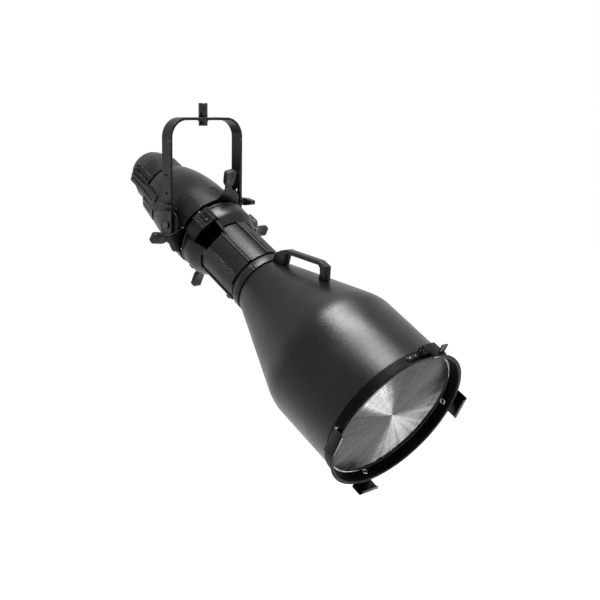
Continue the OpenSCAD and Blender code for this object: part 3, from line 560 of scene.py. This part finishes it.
@dataclass(frozen=True)
class Moulding(Finish):
    """Black moulded plastic with a fine spark-eroded skin.

    Attributes:
        rough, polish: Roughness, and how much of it the rubbed edges lose.
        flow, skin: Scales per metre of the flow marks and of the skin.
        deep, pale: Shades of the colour between which it varies.
    """

    colour: Colour = (0.006, 0.006, 0.0063)
    rubbed: Colour = (0.10, 0.10, 0.10)
    rough: float = 0.44
    sheen: float = 0.25
    flow: float = 22.0
    skin: float = 1500.0
    skin_depth: float = 0.03
    edge: float = 0.8
    polish: float = 0.14
    deep: float = 0.8
    pale: float = 1.3

    def make(self, board: Board) -> bpy.types.Material:
        """Wires plastic with flow marks, a pitted skin and polished edges."""
        where = board.places(lamp=True)
        flow = board.noise(where, self.flow, 4, (1, 1, 0.4))
        skin = board.add("TexVoronoi", {"Scale": self.skin})
        board.wire(where, 0, skin, "Vector")
        rounded, near = board.edges(self.edge)
        tone = board.blend(board.ramp(flow, "Fac", 0.3, 0.7), shade(self.colour, self.deep),
                           shade(self.colour, self.pale))
        colour = board.blend(board.times(near, 0.22), tone, self.rubbed)
        gloss = board.ramp(near, 0, 0.0, 1.0, self.rough, self.rough - self.polish)
        values = {"Specular IOR Level": self.sheen, "IOR": 1.48}
        return board.finish(board.coat(values, colour=colour, gloss=gloss,
                                       normal=board.bump([(skin, self.skin_depth)], rounded)))


@dataclass(frozen=True)
class Metal(Finish):
    """Bare metal: turned, brushed, plated or polished.

    Attributes:
        marks, dull: Scales per metre of the brush marks and of the dull patches.
        brush: Stretch of the brush marks along the lamp's axes.
        tarnished: Strength of the dull patches.
    """

    colour: Colour = (0.52, 0.52, 0.54)
    tarnish: Colour = (0.20, 0.19, 0.18)
    rough: float = 0.28
    marks: float = 240.0
    dull: float = 45.0
    brush: Triple = (1, 1, 6)
    brush_depth: float = 0.012
    tarnished: float = 0.35
    edge: float = 0.4

    def make(self, board: Board) -> bpy.types.Material:
        """Wires metal with brush marks, dull patches and rounded edges."""
        where = board.places(lamp=True)
        marks = board.noise(where, self.marks, 3, self.brush, 0.7)
        dull = board.noise(where, self.dull, 5)
        rounded, _ = board.edges(self.edge)
        patch = board.times(board.ramp(dull, "Fac", 0.45, 0.75), self.tarnished)
        colour = board.blend(patch, self.colour, self.tarnish)
        gloss = board.ramp(marks, "Fac", 0.25, 0.8, self.rough - 0.06, self.rough + 0.14)
        relief = board.bump([(marks, self.brush_depth)], rounded)
        return board.finish(board.coat({"Metallic": 1.0}, colour=colour, gloss=gloss,
                                       normal=relief))


@dataclass(frozen=True)
class LensGlass(Finish):
    """Pressed glass of the front lens: fine turned lines, stipple and rays.

    Attributes:
        lines, stipple, cloud: Scales per metre of the lines, the stipple and the clouds.
        rough: Roughness of the rings.
        dark, light: Colours of the rings' reflection between which it varies.
        clear: Colour of the glass itself.
        turned: How much more the rings scatter across their run than along it.
        sheen: Share of the rings' reflection, against what is seen through the glass.
        arc_scale: Scale of the lines along their run.
    """

    lines: float = 700.0
    stipple: float = 430.0
    cloud: float = 26.0
    rough: float = 0.27
    dark: Colour = (0.005, 0.0052, 0.0055)
    light: Colour = (0.090, 0.092, 0.094)
    clear: Colour = (0.90, 0.93, 0.94)
    turned: float = 0.98
    sheen: float = 0.88
    arc_scale: float = 1.6

    def make(self, board: Board) -> bpy.types.Material:
        """Wires glass whose rings scatter light across, and hardly along, their run."""
        where = board.places(lamp=True)
        split = board.add("SeparateXYZ")
        board.wire(where, 0, split, 0)
        flat = board.add("CombineXYZ")
        board.wire(split, 0, flat, 0)
        board.wire(split, 1, flat, 1)
        span = board.add("VectorMath", operation="LENGTH")
        board.wire(flat, 0, span, 0)
        unit = board.add("VectorMath", operation="NORMALIZE")
        board.wire(flat, 0, unit, 0)
        lines = self._rings(board, unit, board.times(span, self.lines, 1))
        stipple = board.add("TexVoronoi", {"Scale": self.stipple})
        board.wire(where, 0, stipple, "Vector")
        dots = board.ramp(stipple, "Distance", 0.15, 0.55, 1.0, 0.55)
        cloud = board.noise(where, self.cloud, 4)
        lit = board.times(board.ramp(lines, "Fac", 0.25, 0.80, 0.25, 1.0), dots)
        rays = board.ramp(board.noise(unit, 9, 5), "Fac", 0.36, 0.64, 0.35, 1.0)
        tone = board.blend(board.times(lit, rays), self.dark, self.light)
        gloss = board.ramp(cloud, "Fac", 0.3, 0.7, self.rough - 0.03, self.rough + 0.05)
        normal = board.bump([(lines, 0.008), (dots, 0.004)])
        rings = board.coat({"Metallic": 1.0, "Anisotropic": self.turned}, colour=tone,
                           gloss=gloss, normal=normal)
        board.wire(self._outwards(board, unit), 0, rings, "Tangent")
        clear = board.coat({"Base Color": (*self.clear, 1.0), "Transmission Weight": 1.0,
                            "IOR": 1.5, "Roughness": 0.16, "Specular IOR Level": 0.3},
                           normal=normal)
        mix = board.add("MixShader", {"Fac": self.sheen})
        board.wire(clear, 0, mix, 1)
        board.wire(rings, 0, mix, 2)
        return board.finish(mix)

    def _rings(self, board: Board, unit: Node, steps: Node) -> Node:
        """Noise that runs round the axis: fine across the rings, slow along them."""
        arc = board.add("VectorMath", {"Scale": self.arc_scale}, operation="SCALE")
        board.wire(unit, 0, arc, 0)
        height = board.add("CombineXYZ")
        board.wire(steps, 0, height, 2)
        path = board.add("VectorMath", operation="ADD")
        board.wire(arc, 0, path, 0)
        board.wire(height, 0, path, 1)
        return board.noise(path, 1.0, 3, rough=0.6)

    @staticmethod
    def _outwards(board: Board, unit: Node) -> Node:
        """Direction out of the axis, in the world's directions."""
        lean = board.add("VectorRotate", rotation_type="EULER_XYZ")
        lean.inputs["Rotation"].default_value = AXES.matrix().to_euler()
        board.wire(unit, 0, lean, "Vector")
        world = board.add("VectorTransform", vector_type="VECTOR", convert_from="OBJECT",
                          convert_to="WORLD")
        board.wire(lean, 0, world, 0)
        return world


@dataclass(frozen=True)
class LampGlass(Finish):
    """Clear quartz of the lamp's envelope, faintly smoked along drawn lines."""

    clear: Colour = (0.97, 0.98, 0.98)
    smoked: Colour = (0.86, 0.87, 0.88)

    def make(self, board: Board) -> bpy.types.Material:
        """Wires thin clear glass with drawn lines."""
        where = board.places(lamp=True)
        lines = board.noise(where, 120, 3, (1, 1, 0.1))
        smoke = board.blend(board.ramp(lines, "Fac", 0.3, 0.8), self.clear, self.smoked)
        values = {"Transmission Weight": 1.0, "Roughness": 0.03, "IOR": 1.46}
        return board.finish(board.coat(values, colour=smoke, normal=board.bump([(lines, 0.03)])))


@dataclass(frozen=True)
class Ceramic(Finish):
    """Unglazed lamp-holder ceramic with fine pits."""

    deep: Colour = (0.55, 0.50, 0.42)
    pale: Colour = (0.72, 0.68, 0.60)

    def make(self, board: Board) -> bpy.types.Material:
        """Wires pale ceramic with warm clouds and pits."""
        where = board.places(lamp=True)
        cloud = board.noise(where, 40, 5)
        pits = board.noise(where, 900, 2)
        tone = board.blend(board.ramp(cloud, "Fac", 0.3, 0.7), self.deep, self.pale)
        values = {"Roughness": 0.62, "Specular IOR Level": 0.4}
        return board.finish(board.coat(values, colour=tone, normal=board.bump([(pits, 0.05)])))


@dataclass(frozen=True)
class Finishes:
    """All finishes of the spotlight."""

    # The paints' pale edges stand partly for bare metal and partly for a painted highlight; strap,
    # gate and blade carry the strongest.
    sheet: Paint = Paint("stove_paint_sheet", Slot.SHEET, sheen=0.13, wear_and_highlight=0.7)
    strap: Paint = Paint("stove_paint_strap", Slot.SHEET, rough=0.38, sheen=0.24, edge=1.2,
                         wear_and_highlight=0.9)
    spun: Paint = Paint("stove_paint_spun", Slot.SHEET, rough=0.33, sheen=0.29, streaks=0.30,
                        wear_and_highlight=0.35)
    rim: Paint = Paint("stove_paint_rim", Slot.SHEET, rough=0.46, sheen=0.05, wear_and_highlight=0.35)
    casting: Paint = Paint("stove_paint_casting", Slot.CASTING, rough=0.34, sheen=0.28, grain=1300,
                           grain_depth=0.045, wear_and_highlight=0.6)
    gate: Paint = Paint("gate_enamel", Slot.SHEET, rough=0.36, wear_and_highlight=0.8)
    stem: Paint = Paint("stem_enamel", Slot.SHEET, rough=0.22, sheen=0.4, wear_and_highlight=0.8)
    plastic: Moulding = Moulding("moulded_grip", Slot.PLASTIC)
    knob: Moulding = Moulding("moulded_knob", Slot.PLASTIC, rough=0.40, skin=2200.0)
    steel: Metal = Metal("zinc_steel", Slot.STEEL)
    screw: Metal = Metal("blacked_screw", Slot.SCREW, colour=(0.075, 0.075, 0.08),
                         tarnish=(0.03, 0.03, 0.03), rough=0.34)
    blade: Paint = Paint("blade_enamel", Slot.SHEET, rough=0.34, wear_and_highlight=1.0, edge=0.9)
    dish: Metal = Metal("mirror_coat", Slot.MIRROR, colour=(0.86, 0.87, 0.88), rough=0.08,
                        tarnished=0.05)
    ceramic: Ceramic = Ceramic("holder_ceramic", Slot.CERAMIC)
    lens: LensGlass = LensGlass("pressed_lens_glass", Slot.GLASS)
    quartz: LampGlass = LampGlass("lamp_quartz", Slot.GLASS)
    coil: Metal = Metal("tungsten_coil", Slot.TUNGSTEN, colour=(0.30, 0.29, 0.27), rough=0.45)


FIN = Finishes()


class Dresser:
    """Dresses nodes of the frame in place: seams merged, edges rounded, finish on."""

    weld: float = 0.01
    crease: float = math.radians(34)

    def dress(self, nodes: Sequence[str], finish: Finish, edge: float) -> None:
        """Gives nodes their finish.

        Args:
            nodes: Names of frame nodes.
            finish: The finish they get.
            edge: Width of the rounding of their edges; 0 keeps the edges and splits the shading.
        """
        for name in nodes:
            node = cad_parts[name]
            node.data.materials.clear()
            node.data.materials.append(finish.material())
            node.data.polygons.foreach_set("use_smooth", [True] * len(node.data.polygons))
            merge = node.modifiers.new("merge", "WELD")
            merge.merge_threshold = self.weld * MM
            if edge:
                rounding = node.modifiers.new("rounding", "BEVEL")
                rounding.width = edge * MM
                rounding.segments = 2
                rounding.limit_method = "ANGLE"
                rounding.angle_limit = self.crease
                rounding.harden_normals = True
            else:
                split = node.modifiers.new("split", "EDGE_SPLIT")
                split.split_angle = self.crease
            log.info("node %s dressed in %s", name, finish.name)


@dataclass
class Suspension:
    """Mounting stem, yoke and tilt clutch."""

    dresser: Dresser

    def build(self) -> None:
        """Dresses the yoke's parts."""
        dress = self.dresser.dress
        dress(["yoke", "yoke_arms"], FIN.strap, 0)
        dress(["clutch_plates", "brake_disc_left", "brake_disc_right"], FIN.sheet, 0.4)
        dress(["mounting_stem"], FIN.stem, 0.4)
        dress(["yoke_bolt"], FIN.stem, 0.8)
        dress(["yoke_washer", "pivot_bolts"], FIN.screw, 0.3)
        dress(["clutch_handle_left", "clutch_handle_right"], FIN.plastic, 1.6)


@dataclass
class LampHouse:
    """Reflector housing, rear shroud, burner cap and what is inside them."""

    dresser: Dresser

    def build(self) -> None:
        """Dresses the house and its inside."""
        dress = self.dresser.dress
        dress(["reflector_housing", "rear_shroud", "side_fins_left", "side_fins_right"],
              FIN.casting, 0)
        dress(["burner_cap"], FIN.casting, 0.5)
        dress(["collar_screws"], FIN.screw, 0.2)
        dress(["reflector"], FIN.dish, 0)
        dress(["reflector_ring"], FIN.gate, 0)
        dress(["lamp_socket"], FIN.ceramic, 0)
        dress(["lamp_base"], FIN.steel, 0)
        dress(["lamp_envelope"], FIN.quartz, 0)
        dress(["lamp_filament"], FIN.coil, 0)
        dress(["cable_gland", "gland_nut", "cap_screw", "centring_knob", "peak_knob"],
              FIN.knob, 0.4)


@dataclass(frozen=True)
class Shutter:
    """One shutter's grip: its body and where it lies in the gate.

    Attributes:
        body: The shutter's body.
        side: Degrees from the lamp's top to the side that it sticks out of.
        lean, shift: Degrees that it leans, and how far it lies off the middle.
        reach, half: Distance of its inner end from the axis, and half its length.
        station: Where it lies along the light.
    """

    body: Body
    side: float
    lean: float
    shift: float
    reach: float
    station: float
    half: float = 19.0

    def place(self) -> Matrix:
        """Matrix of the grip: y runs outwards along it and z through its thickness."""
        turn = Matrix.Rotation(math.radians(-self.side), 4, "Z")
        offset = Vector((self.shift, self.reach + self.half, self.station))
        middle = Matrix.Translation(offset * MM)
        lean = Matrix.Rotation(math.radians(self.lean), 4, "Z")
        inner = Matrix.Translation((0, -self.half * MM, 0))
        return AXES.matrix() @ turn @ middle @ lean @ inner


@dataclass
class Gate:
    """Shutter gate between the housing and the drum."""

    dresser: Dresser
    ridge_rows: tuple[float, ...] = (21.0, 25.0, 29.0, 33.0)
    ridge: Triple = (17.0, 1.9, 1.1)
    ridge_seat: float = 5.7
    shutters: tuple[Shutter, ...] = (
        Shutter(Body.TOP_SHUTTER, 0, 14, -5, 128, 40.05),
        Shutter(Body.LEFT_SHUTTER, -90, -9, 0, 131, 41.2),
        Shutter(Body.RIGHT_SHUTTER, 90, 0, 7, 127, 42.35),
        Shutter(Body.BOTTOM_SHUTTER, 180, 0, 0, 109, 43.5),
    )

    def build(self) -> None:
        """Dresses plates, blades and grips, and ridges the grips."""
        dress = self.dresser.dress
        dress(["gate_rear_plate", "gate_front_plate"], FIN.gate, 0)
        dress(["gate_posts"], FIN.screw, 0)
        dress(["shutter_top", "shutter_bottom", "shutter_left", "shutter_right"], FIN.blade, 0)
        dress(["grip_top", "grip_bottom", "grip_left", "grip_right"], FIN.plastic, 1.0)
        for shutter in self.shutters:
            self._ridges(shutter)

    def _ridges(self, shutter: Shutter) -> None:
        """Rounded finger ridges on both faces of a grip."""
        ridge = Bench.block("ridge", *self.ridge)
        Bench.pick(ridge, faces_up)
        Bench.shrink(0.94, 0.5, 1, (0, 0, self.ridge[2]))
        Bench.ease(ridge, 0.25)
        turned = Matrix.Rotation(math.pi, 4, "Y")
        places = [shutter.place() @ Matrix.Translation((0, row * MM, 0)) @ flip
                  @ Matrix.Translation((0, 0, self.ridge_seat * MM))
                  for row in self.ridge_rows for flip in (Matrix.Identity(4), turned)]
        piece = Bench.spread(f"ridges_{shutter.body.value}", ridge, places)
        Bench.deliver(piece, shutter.body, FIN.plastic)


@dataclass
class Barrel:
    """Shutter drum and the ribbed barrel."""

    dresser: Dresser
    spring_angle: float = -44.5
    spring_radius: float = 92.4
    spring_station: float = 71.0
    spring_reach: float = 6.5
    boss_angle: float = -108.0
    boss_radius: float = 88.5
    boss_station: float = 51.2
    boss_height: float = 1.7
    scale_angle: float = -39.0
    scale_radius: float = 73.1
    scale_back: float = 166.0
    scale_pitch: float = 3.6
    scale_rows: int = 15
    mark: Triple = (2.6, 0.7, 0.35)
    mark_side: float = 2.75
    caps: tuple[tuple[str, Body, Triple, float], ...] = (
        ("turn_lock_cap", Body.TURN_LOCK, (180, 110.5, 19), 6.6),
        ("focus_knob_cap", Body.FOCUS_LOCK, (186, 87.5, 172), 4.9),
    )

    def build(self) -> None:
        """Dresses the drum, the barrel and their knobs, and adds small parts."""
        dress = self.dresser.dress
        dress(["shutter_drum", "barrel"], FIN.casting, 0)
        dress(["pattern_slot_cover"], FIN.sheet, 0.3)
        dress(["turn_lock_knob", "focus_knob"], FIN.knob, 0.5)
        self._slot_springs()
        self._flange_screw()
        self._scale()
        for name, body, spot, rim in self.caps:
            self._knob_cap(name, body, AXES.out(*spot), rim)

    def _slot_springs(self) -> None:
        """Two bent spring ends that show in the cover's slot."""
        spring = Bench.block("spring", 2.3, 5.5, 0.7)
        Bench.pick(spring, lambda normal: normal.y > SQUARE)
        Bench.draw_out(0, 1.6, 0.9)
        Bench.ease(spring, 0.2)
        places = [AXES.out(self.spring_angle, self.spring_radius,
                           self.spring_station + side * self.spring_reach)
                  @ Matrix.Rotation(0 if side > 0 else math.pi, 4, "Z") for side in (-1, 1)]
        piece = Bench.spread("slot_springs", spring, places)
        Bench.deliver(piece, Body.BARREL, FIN.screw)

    def _flange_screw(self) -> None:
        """Raised boss with a slotted screw on the flange's left side."""
        top = self.boss_height
        boss = Bench.lathe("flange_boss", [(0, -1.5), (2.6, -1.5), (2.6, top - 0.5), (2.2, top),
                                           (0, top)], 32)
        place = AXES.out(self.boss_angle, self.boss_radius, self.boss_station)
        Bench.place(boss, place)
        Bench.deliver(boss, Body.BARREL, FIN.casting)
        screw = self._slotted("flange_screw", 1.9, 1.1)
        Bench.place(screw, place @ Matrix.Translation((0, 0, (top - 0.1) * MM)))
        Bench.deliver(screw, Body.BARREL, FIN.steel)

    @staticmethod
    def _slotted(name: str, radius: float, height: float) -> Piece:
        """A domed screw head with a sunk driving slot, on z = 0."""
        head = Bench.round_bar(name, radius, height, 32)
        Bench.pick(head, faces_up)
        Bench.inset(radius * 0.28, height * 0.18)
        Bench.inset(radius * 0.30)
        Bench.shrink(1.9, 0.34, 1, (0, 0, height))
        Bench.draw_out(0, 0, -height * 0.45)
        return Bench.ease(head, 0.08, 1)

    def _scale(self) -> None:
        """Raised marks of the focus scale beside the narrow rib's groove."""
        mark = Bench.block("mark", *self.mark)
        Bench.pick(mark, faces_up)
        Bench.shrink(0.9, 0.6, 1, (0, 0, self.mark[2]))
        places = [AXES.out(self.scale_angle, self.scale_radius,
                           self.scale_back + self.scale_pitch * row)
                  @ Matrix.Translation((side * self.mark_side * MM, 0, 0))
                  for row in range(self.scale_rows) for side in (-1, 1)]
        piece = Bench.spread("focus_scale_marks", mark, places)
        Bench.deliver(piece, Body.BARREL, FIN.casting)

    @staticmethod
    def _knob_cap(name: str, body: Body, place: Matrix, rim: float) -> None:
        """Domed cap with a raised ring on the outer face of a knob."""
        outline = [(0, 1.15), (rim * 0.35, 1.05), (rim * 0.62, 0.65), (rim * 0.70, 0.35),
                   (rim * 0.78, 0.35), (rim * 0.84, 0.9), (rim * 0.95, 0.9), (rim, 0.4),
                   (rim, -0.4), (0, -0.4)]
        cap = Bench.lathe(name, outline, 40)
        Bench.place(cap, place)
        Bench.deliver(cap, body, FIN.knob)


@dataclass
class Snoot:
    """Lens tube, neck ring, bell, carry handle and the front.

    Attributes:
        front_bow, back_bow: How far the lens's faces bow.
        ring_foot: Share of the ring pitch that a pressed step rises over.
        rim_drop: How far the last step falls back.
        lens_steps, back_steps: Facets round the lens and across its back.
        lip_radius, lip_station: Where the clips' rolled hems lie.
        nut_radius, nut_station: Where the clips' nuts lie.
    """

    dresser: Dresser
    lens_radius: float = 153.7
    lens_front: float = 683.0
    lens_thick: float = 22.0
    lens_steps: int = 144
    front_bow: float = 5.6
    back_bow: float = 10.4
    back_steps: int = 12
    ring_pitch: float = 2.75
    ring_depth: float = 0.05
    ring_foot: float = 0.35
    rim_drop: float = 0.3
    lip_radius: float = 172.5
    lip_station: float = 716.25
    hem_radius: float = 1.15
    nut_radius: float = 152.7
    nut_station: float = 686.0

    def build(self) -> None:
        """Dresses the bell and what sits on it, and presses the lens."""
        dress = self.dresser.dress
        dress(["lens_tube"], FIN.sheet, 0)
        dress(["neck_ring"], FIN.casting, 0.4)
        dress(["neck_screws", "handle_screws", "clip_bolts"], FIN.screw, 0.2)
        dress(["bell"], FIN.spun, 0)
        dress(["front_rim"], FIN.rim, 0)
        dress(["carry_handle"], FIN.plastic, 2.2)
        dress(["lens_ring"], FIN.screw, 0.3)
        dress(["frame_clip_left", "frame_clip_bottom", "frame_clip_right", "latch_bracket",
               "retainer_latch"], FIN.sheet, 0.4)
        dress(["latch_pin"], FIN.screw, 0.2)
        self._lens()
        self._hems()
        self._nut_rims()

    def _lens(self) -> None:
        """Pressed lens with concentric steps on its front, in place of the plain one."""
        count = round(self.lens_radius / self.ring_pitch)
        outline: list[tuple[float, float]] = [(0.0, self.lens_front)]
        for ring in range(1, count + 1):
            radius = self.lens_radius * ring / count
            share = radius / self.lens_radius
            z = self.lens_front - self.front_bow * share * share
            outline.append((radius - self.ring_foot * self.ring_pitch, z - self.ring_depth))
            outline.append((radius, z if ring < count else z - self.rim_drop))
        for step in range(self.back_steps, -1, -1):
            share = step / self.back_steps
            z = self.lens_front - self.lens_thick + self.back_bow * share * share
            outline.append((self.lens_radius * share, z))
        piece = Bench.lathe("pressed_lens", outline, self.lens_steps, closed=False)
        Bench.place(piece, AXES.matrix())
        Bench.deliver(piece, Body.FOCUS, FIN.lens, 50)
        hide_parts("lens")

    def _hems(self) -> None:
        """Rolled hems on the lips of the clips and of the latch."""
        lay = Matrix.Rotation(math.pi / 2, 4, "Y")
        for name, angle, length, body in (
                ("left", -90, 46, Body.FOCUS), ("right", 90, 46, Body.FOCUS),
                ("bottom", 180, 46, Body.FOCUS), ("latch", 0, 34, Body.LATCH)):
            hem = Bench.round_bar(f"hem_{name}", self.hem_radius, length, 16)
            Bench.ease(hem, 0.4)
            middle = Matrix.Translation((0, 0, -length / 2 * MM))
            Bench.place(hem, AXES.out(angle, self.lip_radius, self.lip_station) @ lay @ middle)
            Bench.deliver(hem, body, FIN.sheet)

    def _nut_rims(self) -> None:
        """Raised washers on the clips' nuts, inside the rim."""
        outline = [(3.9, 0.0), (6.0, 0.0), (6.4, 0.6), (5.9, 1.5), (4.6, 1.6), (4.0, 1.0)]
        washer = Bench.lathe("nut_washer", outline, 32)
        places = [AXES.out(angle, self.nut_radius, self.nut_station)
                  @ Matrix.Rotation(math.pi, 4, "X") for angle in (-90, 90, 180)]
        piece = Bench.spread("nut_washers", washer, places)
        Bench.deliver(piece, Body.FOCUS, FIN.steel)


@dataclass(frozen=True)
class View:
    """The camera that took the photograph.

    Attributes:
        place: Where it stood, in metres.
        heading, pitch, roll: Which way it looked, in degrees; pitch is downwards.
    """

    place: Triple = (-1.3886, -1.8228, 0.04275)
    heading: float = -43.03
    pitch: float = 11.51
    roll: float = 1.03
    lens: float = 58.966
    sensor: float = 36.0

    def build(self) -> None:
        """Makes the scene's camera."""
        heading, pitch, roll = map(math.radians, (self.heading, self.pitch, self.roll))
        forward = Vector((-math.sin(heading) * math.cos(pitch),
                          math.cos(heading) * math.cos(pitch), -math.sin(pitch)))
        level = Vector((math.cos(heading), math.sin(heading), 0))
        above = level.cross(forward)
        right = math.cos(roll) * level + math.sin(roll) * above
        up = -math.sin(roll) * level + math.cos(roll) * above
        data = bpy.data.cameras.new("photograph")
        data.lens, data.sensor_width = self.lens, self.sensor
        camera = bpy.data.objects.new("photograph", data)
        bpy.context.scene.collection.objects.link(camera)
        turn = Matrix((right, up, -forward)).transposed().to_4x4()
        camera.matrix_world = Matrix.Translation(self.place) @ turn
        bpy.context.scene.camera = camera


@dataclass(frozen=True)
class Softbox:
    """A rectangular soft lamp, in metres, aimed at a point.

    Attributes:
        radiance: Brightness of its face, whatever its size.
    """

    name: str
    place: Triple
    aim: Triple
    width: float
    height: float
    radiance: float

    def build(self) -> None:
        """Hangs the lamp."""
        data = bpy.data.lights.new(self.name, "AREA")
        data.shape = "RECTANGLE"
        data.size, data.size_y = self.width, self.height
        data.energy = self.radiance * math.pi * self.width * self.height
        lamp = bpy.data.objects.new(self.name, data)
        bpy.context.scene.collection.objects.link(lamp)
        lamp.location = self.place
        lamp.visible_camera = False
        ahead = Vector(self.aim) - Vector(self.place)
        lamp.rotation_euler = ahead.to_track_quat("-Z", "Y").to_euler()


@dataclass(frozen=True)
class Studio:
    """Pale floor, white surround and soft lamps, in metres.

    Attributes:
        floor_glow, fade: Glow that the camera sees near and far, and between which distances.
        ambient: Light of the surround, where the camera sees 1.
    """

    floor_z: float = -1.5
    floor_side: float = 40.0
    floor_middle: float = 6.0
    floor_tone: Colour = (0.90, 0.90, 0.90)
    floor_glow: tuple[float, float] = (0.78, 0.88)
    fade: tuple[float, float] = (2.0, 4.5)
    ambient: float = 0.15

    def build(self) -> None:
        """Sets the floor, the surround and the lamps."""
        self._floor()
        self._surround()
        for box in self._lamps():
            box.build()
        bpy.context.scene.view_settings.view_transform = "Standard"

    @staticmethod
    def _lamps() -> list[Softbox]:
        """The soft lamps, aimed at the object's middle or at its lens."""
        middle = (0.0, -0.35, -0.35)
        lens = (0.0, -0.62, -0.56)
        return [
            Softbox("overhead", (-0.06, -0.35, 1.40), middle, 0.68, 0.90, 39.0),
            Softbox("camera_bank", (-1.9, -2.3, 0.9), middle, 0.6, 0.6, 5.0),
            Softbox("front_bank", (0.57, -1.03, -1.27), lens, 0.17, 0.17, 130.0),
            Softbox("rear_left_bank", (-1.5, 1.9, -0.5), middle, 1.4, 0.6, 1.0),
        ]

    @staticmethod
    def _seen(tree: bpy.types.NodeTree) -> Node:
        """Value that is 1 for camera, glossy and transmission rays."""
        path = tree.nodes.new("ShaderNodeLightPath")
        last = path.outputs["Is Camera Ray"]
        for name in ("Is Glossy Ray", "Is Transmission Ray"):
            node = tree.nodes.new("ShaderNodeMath")
            node.operation = "MAXIMUM"
            tree.links.new(path.outputs[name], node.inputs[0])
            tree.links.new(last, node.inputs[1])
            last = node.outputs[0]
        return node

    def _surround(self) -> None:
        """World that lights softly and shows white."""
        world = bpy.data.worlds.new("surround")
        bpy.context.scene.world = world
        world.use_nodes = True
        tree = world.node_tree
        tree.nodes.clear()
        seen = self._seen(tree)
        level = tree.nodes.new("ShaderNodeMapRange")
        level.inputs["To Min"].default_value = self.ambient
        level.inputs["To Max"].default_value = 1.0
        tree.links.new(seen.outputs[0], level.inputs["Value"])
        light = tree.nodes.new("ShaderNodeBackground")
        light.inputs["Color"].default_value = (1, 1, 1, 1)
        tree.links.new(level.outputs[0], light.inputs["Strength"])
        output = tree.nodes.new("ShaderNodeOutputWorld")
        tree.links.new(light.outputs[0], output.inputs[0])

    def _floor(self) -> None:
        """Pale floor under the hanging lamp."""
        Bench.clear()
        bpy.ops.mesh.primitive_plane_add(size=self.floor_side,
                                         location=(0, self.floor_middle, self.floor_z))
        floor = bpy.context.object
        floor.name = "studio_floor"
        bpy.ops.object.transform_apply(location=True)
        board = Board("floor_paint")
        matt = board.add("BsdfDiffuse", {"Color": (*self.floor_tone, 1)})
        lit = board.add("Emission", {"Color": (1, 1, 1, 1)})
        away = board.add("VectorMath", operation="LENGTH")
        board.wire(board.places(lamp=False), 0, away, 0)
        glow = board.ramp(away, "Value", *self.fade, *self.floor_glow)
        level = board.times(self._seen(board.tree), glow)
        board.wire(level, 0, lit, "Strength")
        both = board.add("AddShader")
        board.wire(matt, 0, both, 0)
        board.wire(lit, 0, both, 1)
        floor.data.materials.append(board.finish(both))


def main() -> None:
    """Builds the camera, the sub-assemblies and the studio."""
    logging.basicConfig(level=logging.INFO, format="%(message)s")
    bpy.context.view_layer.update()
    View().build()
    dresser = Dresser()
    for part in (Suspension(dresser), LampHouse(dresser), Gate(dresser), Barrel(dresser),
                 Snoot(dresser)):
        part.build()
        log.info("%s done", type(part).__name__)
    Studio().build()


if __name__ == "__main__":
    main()
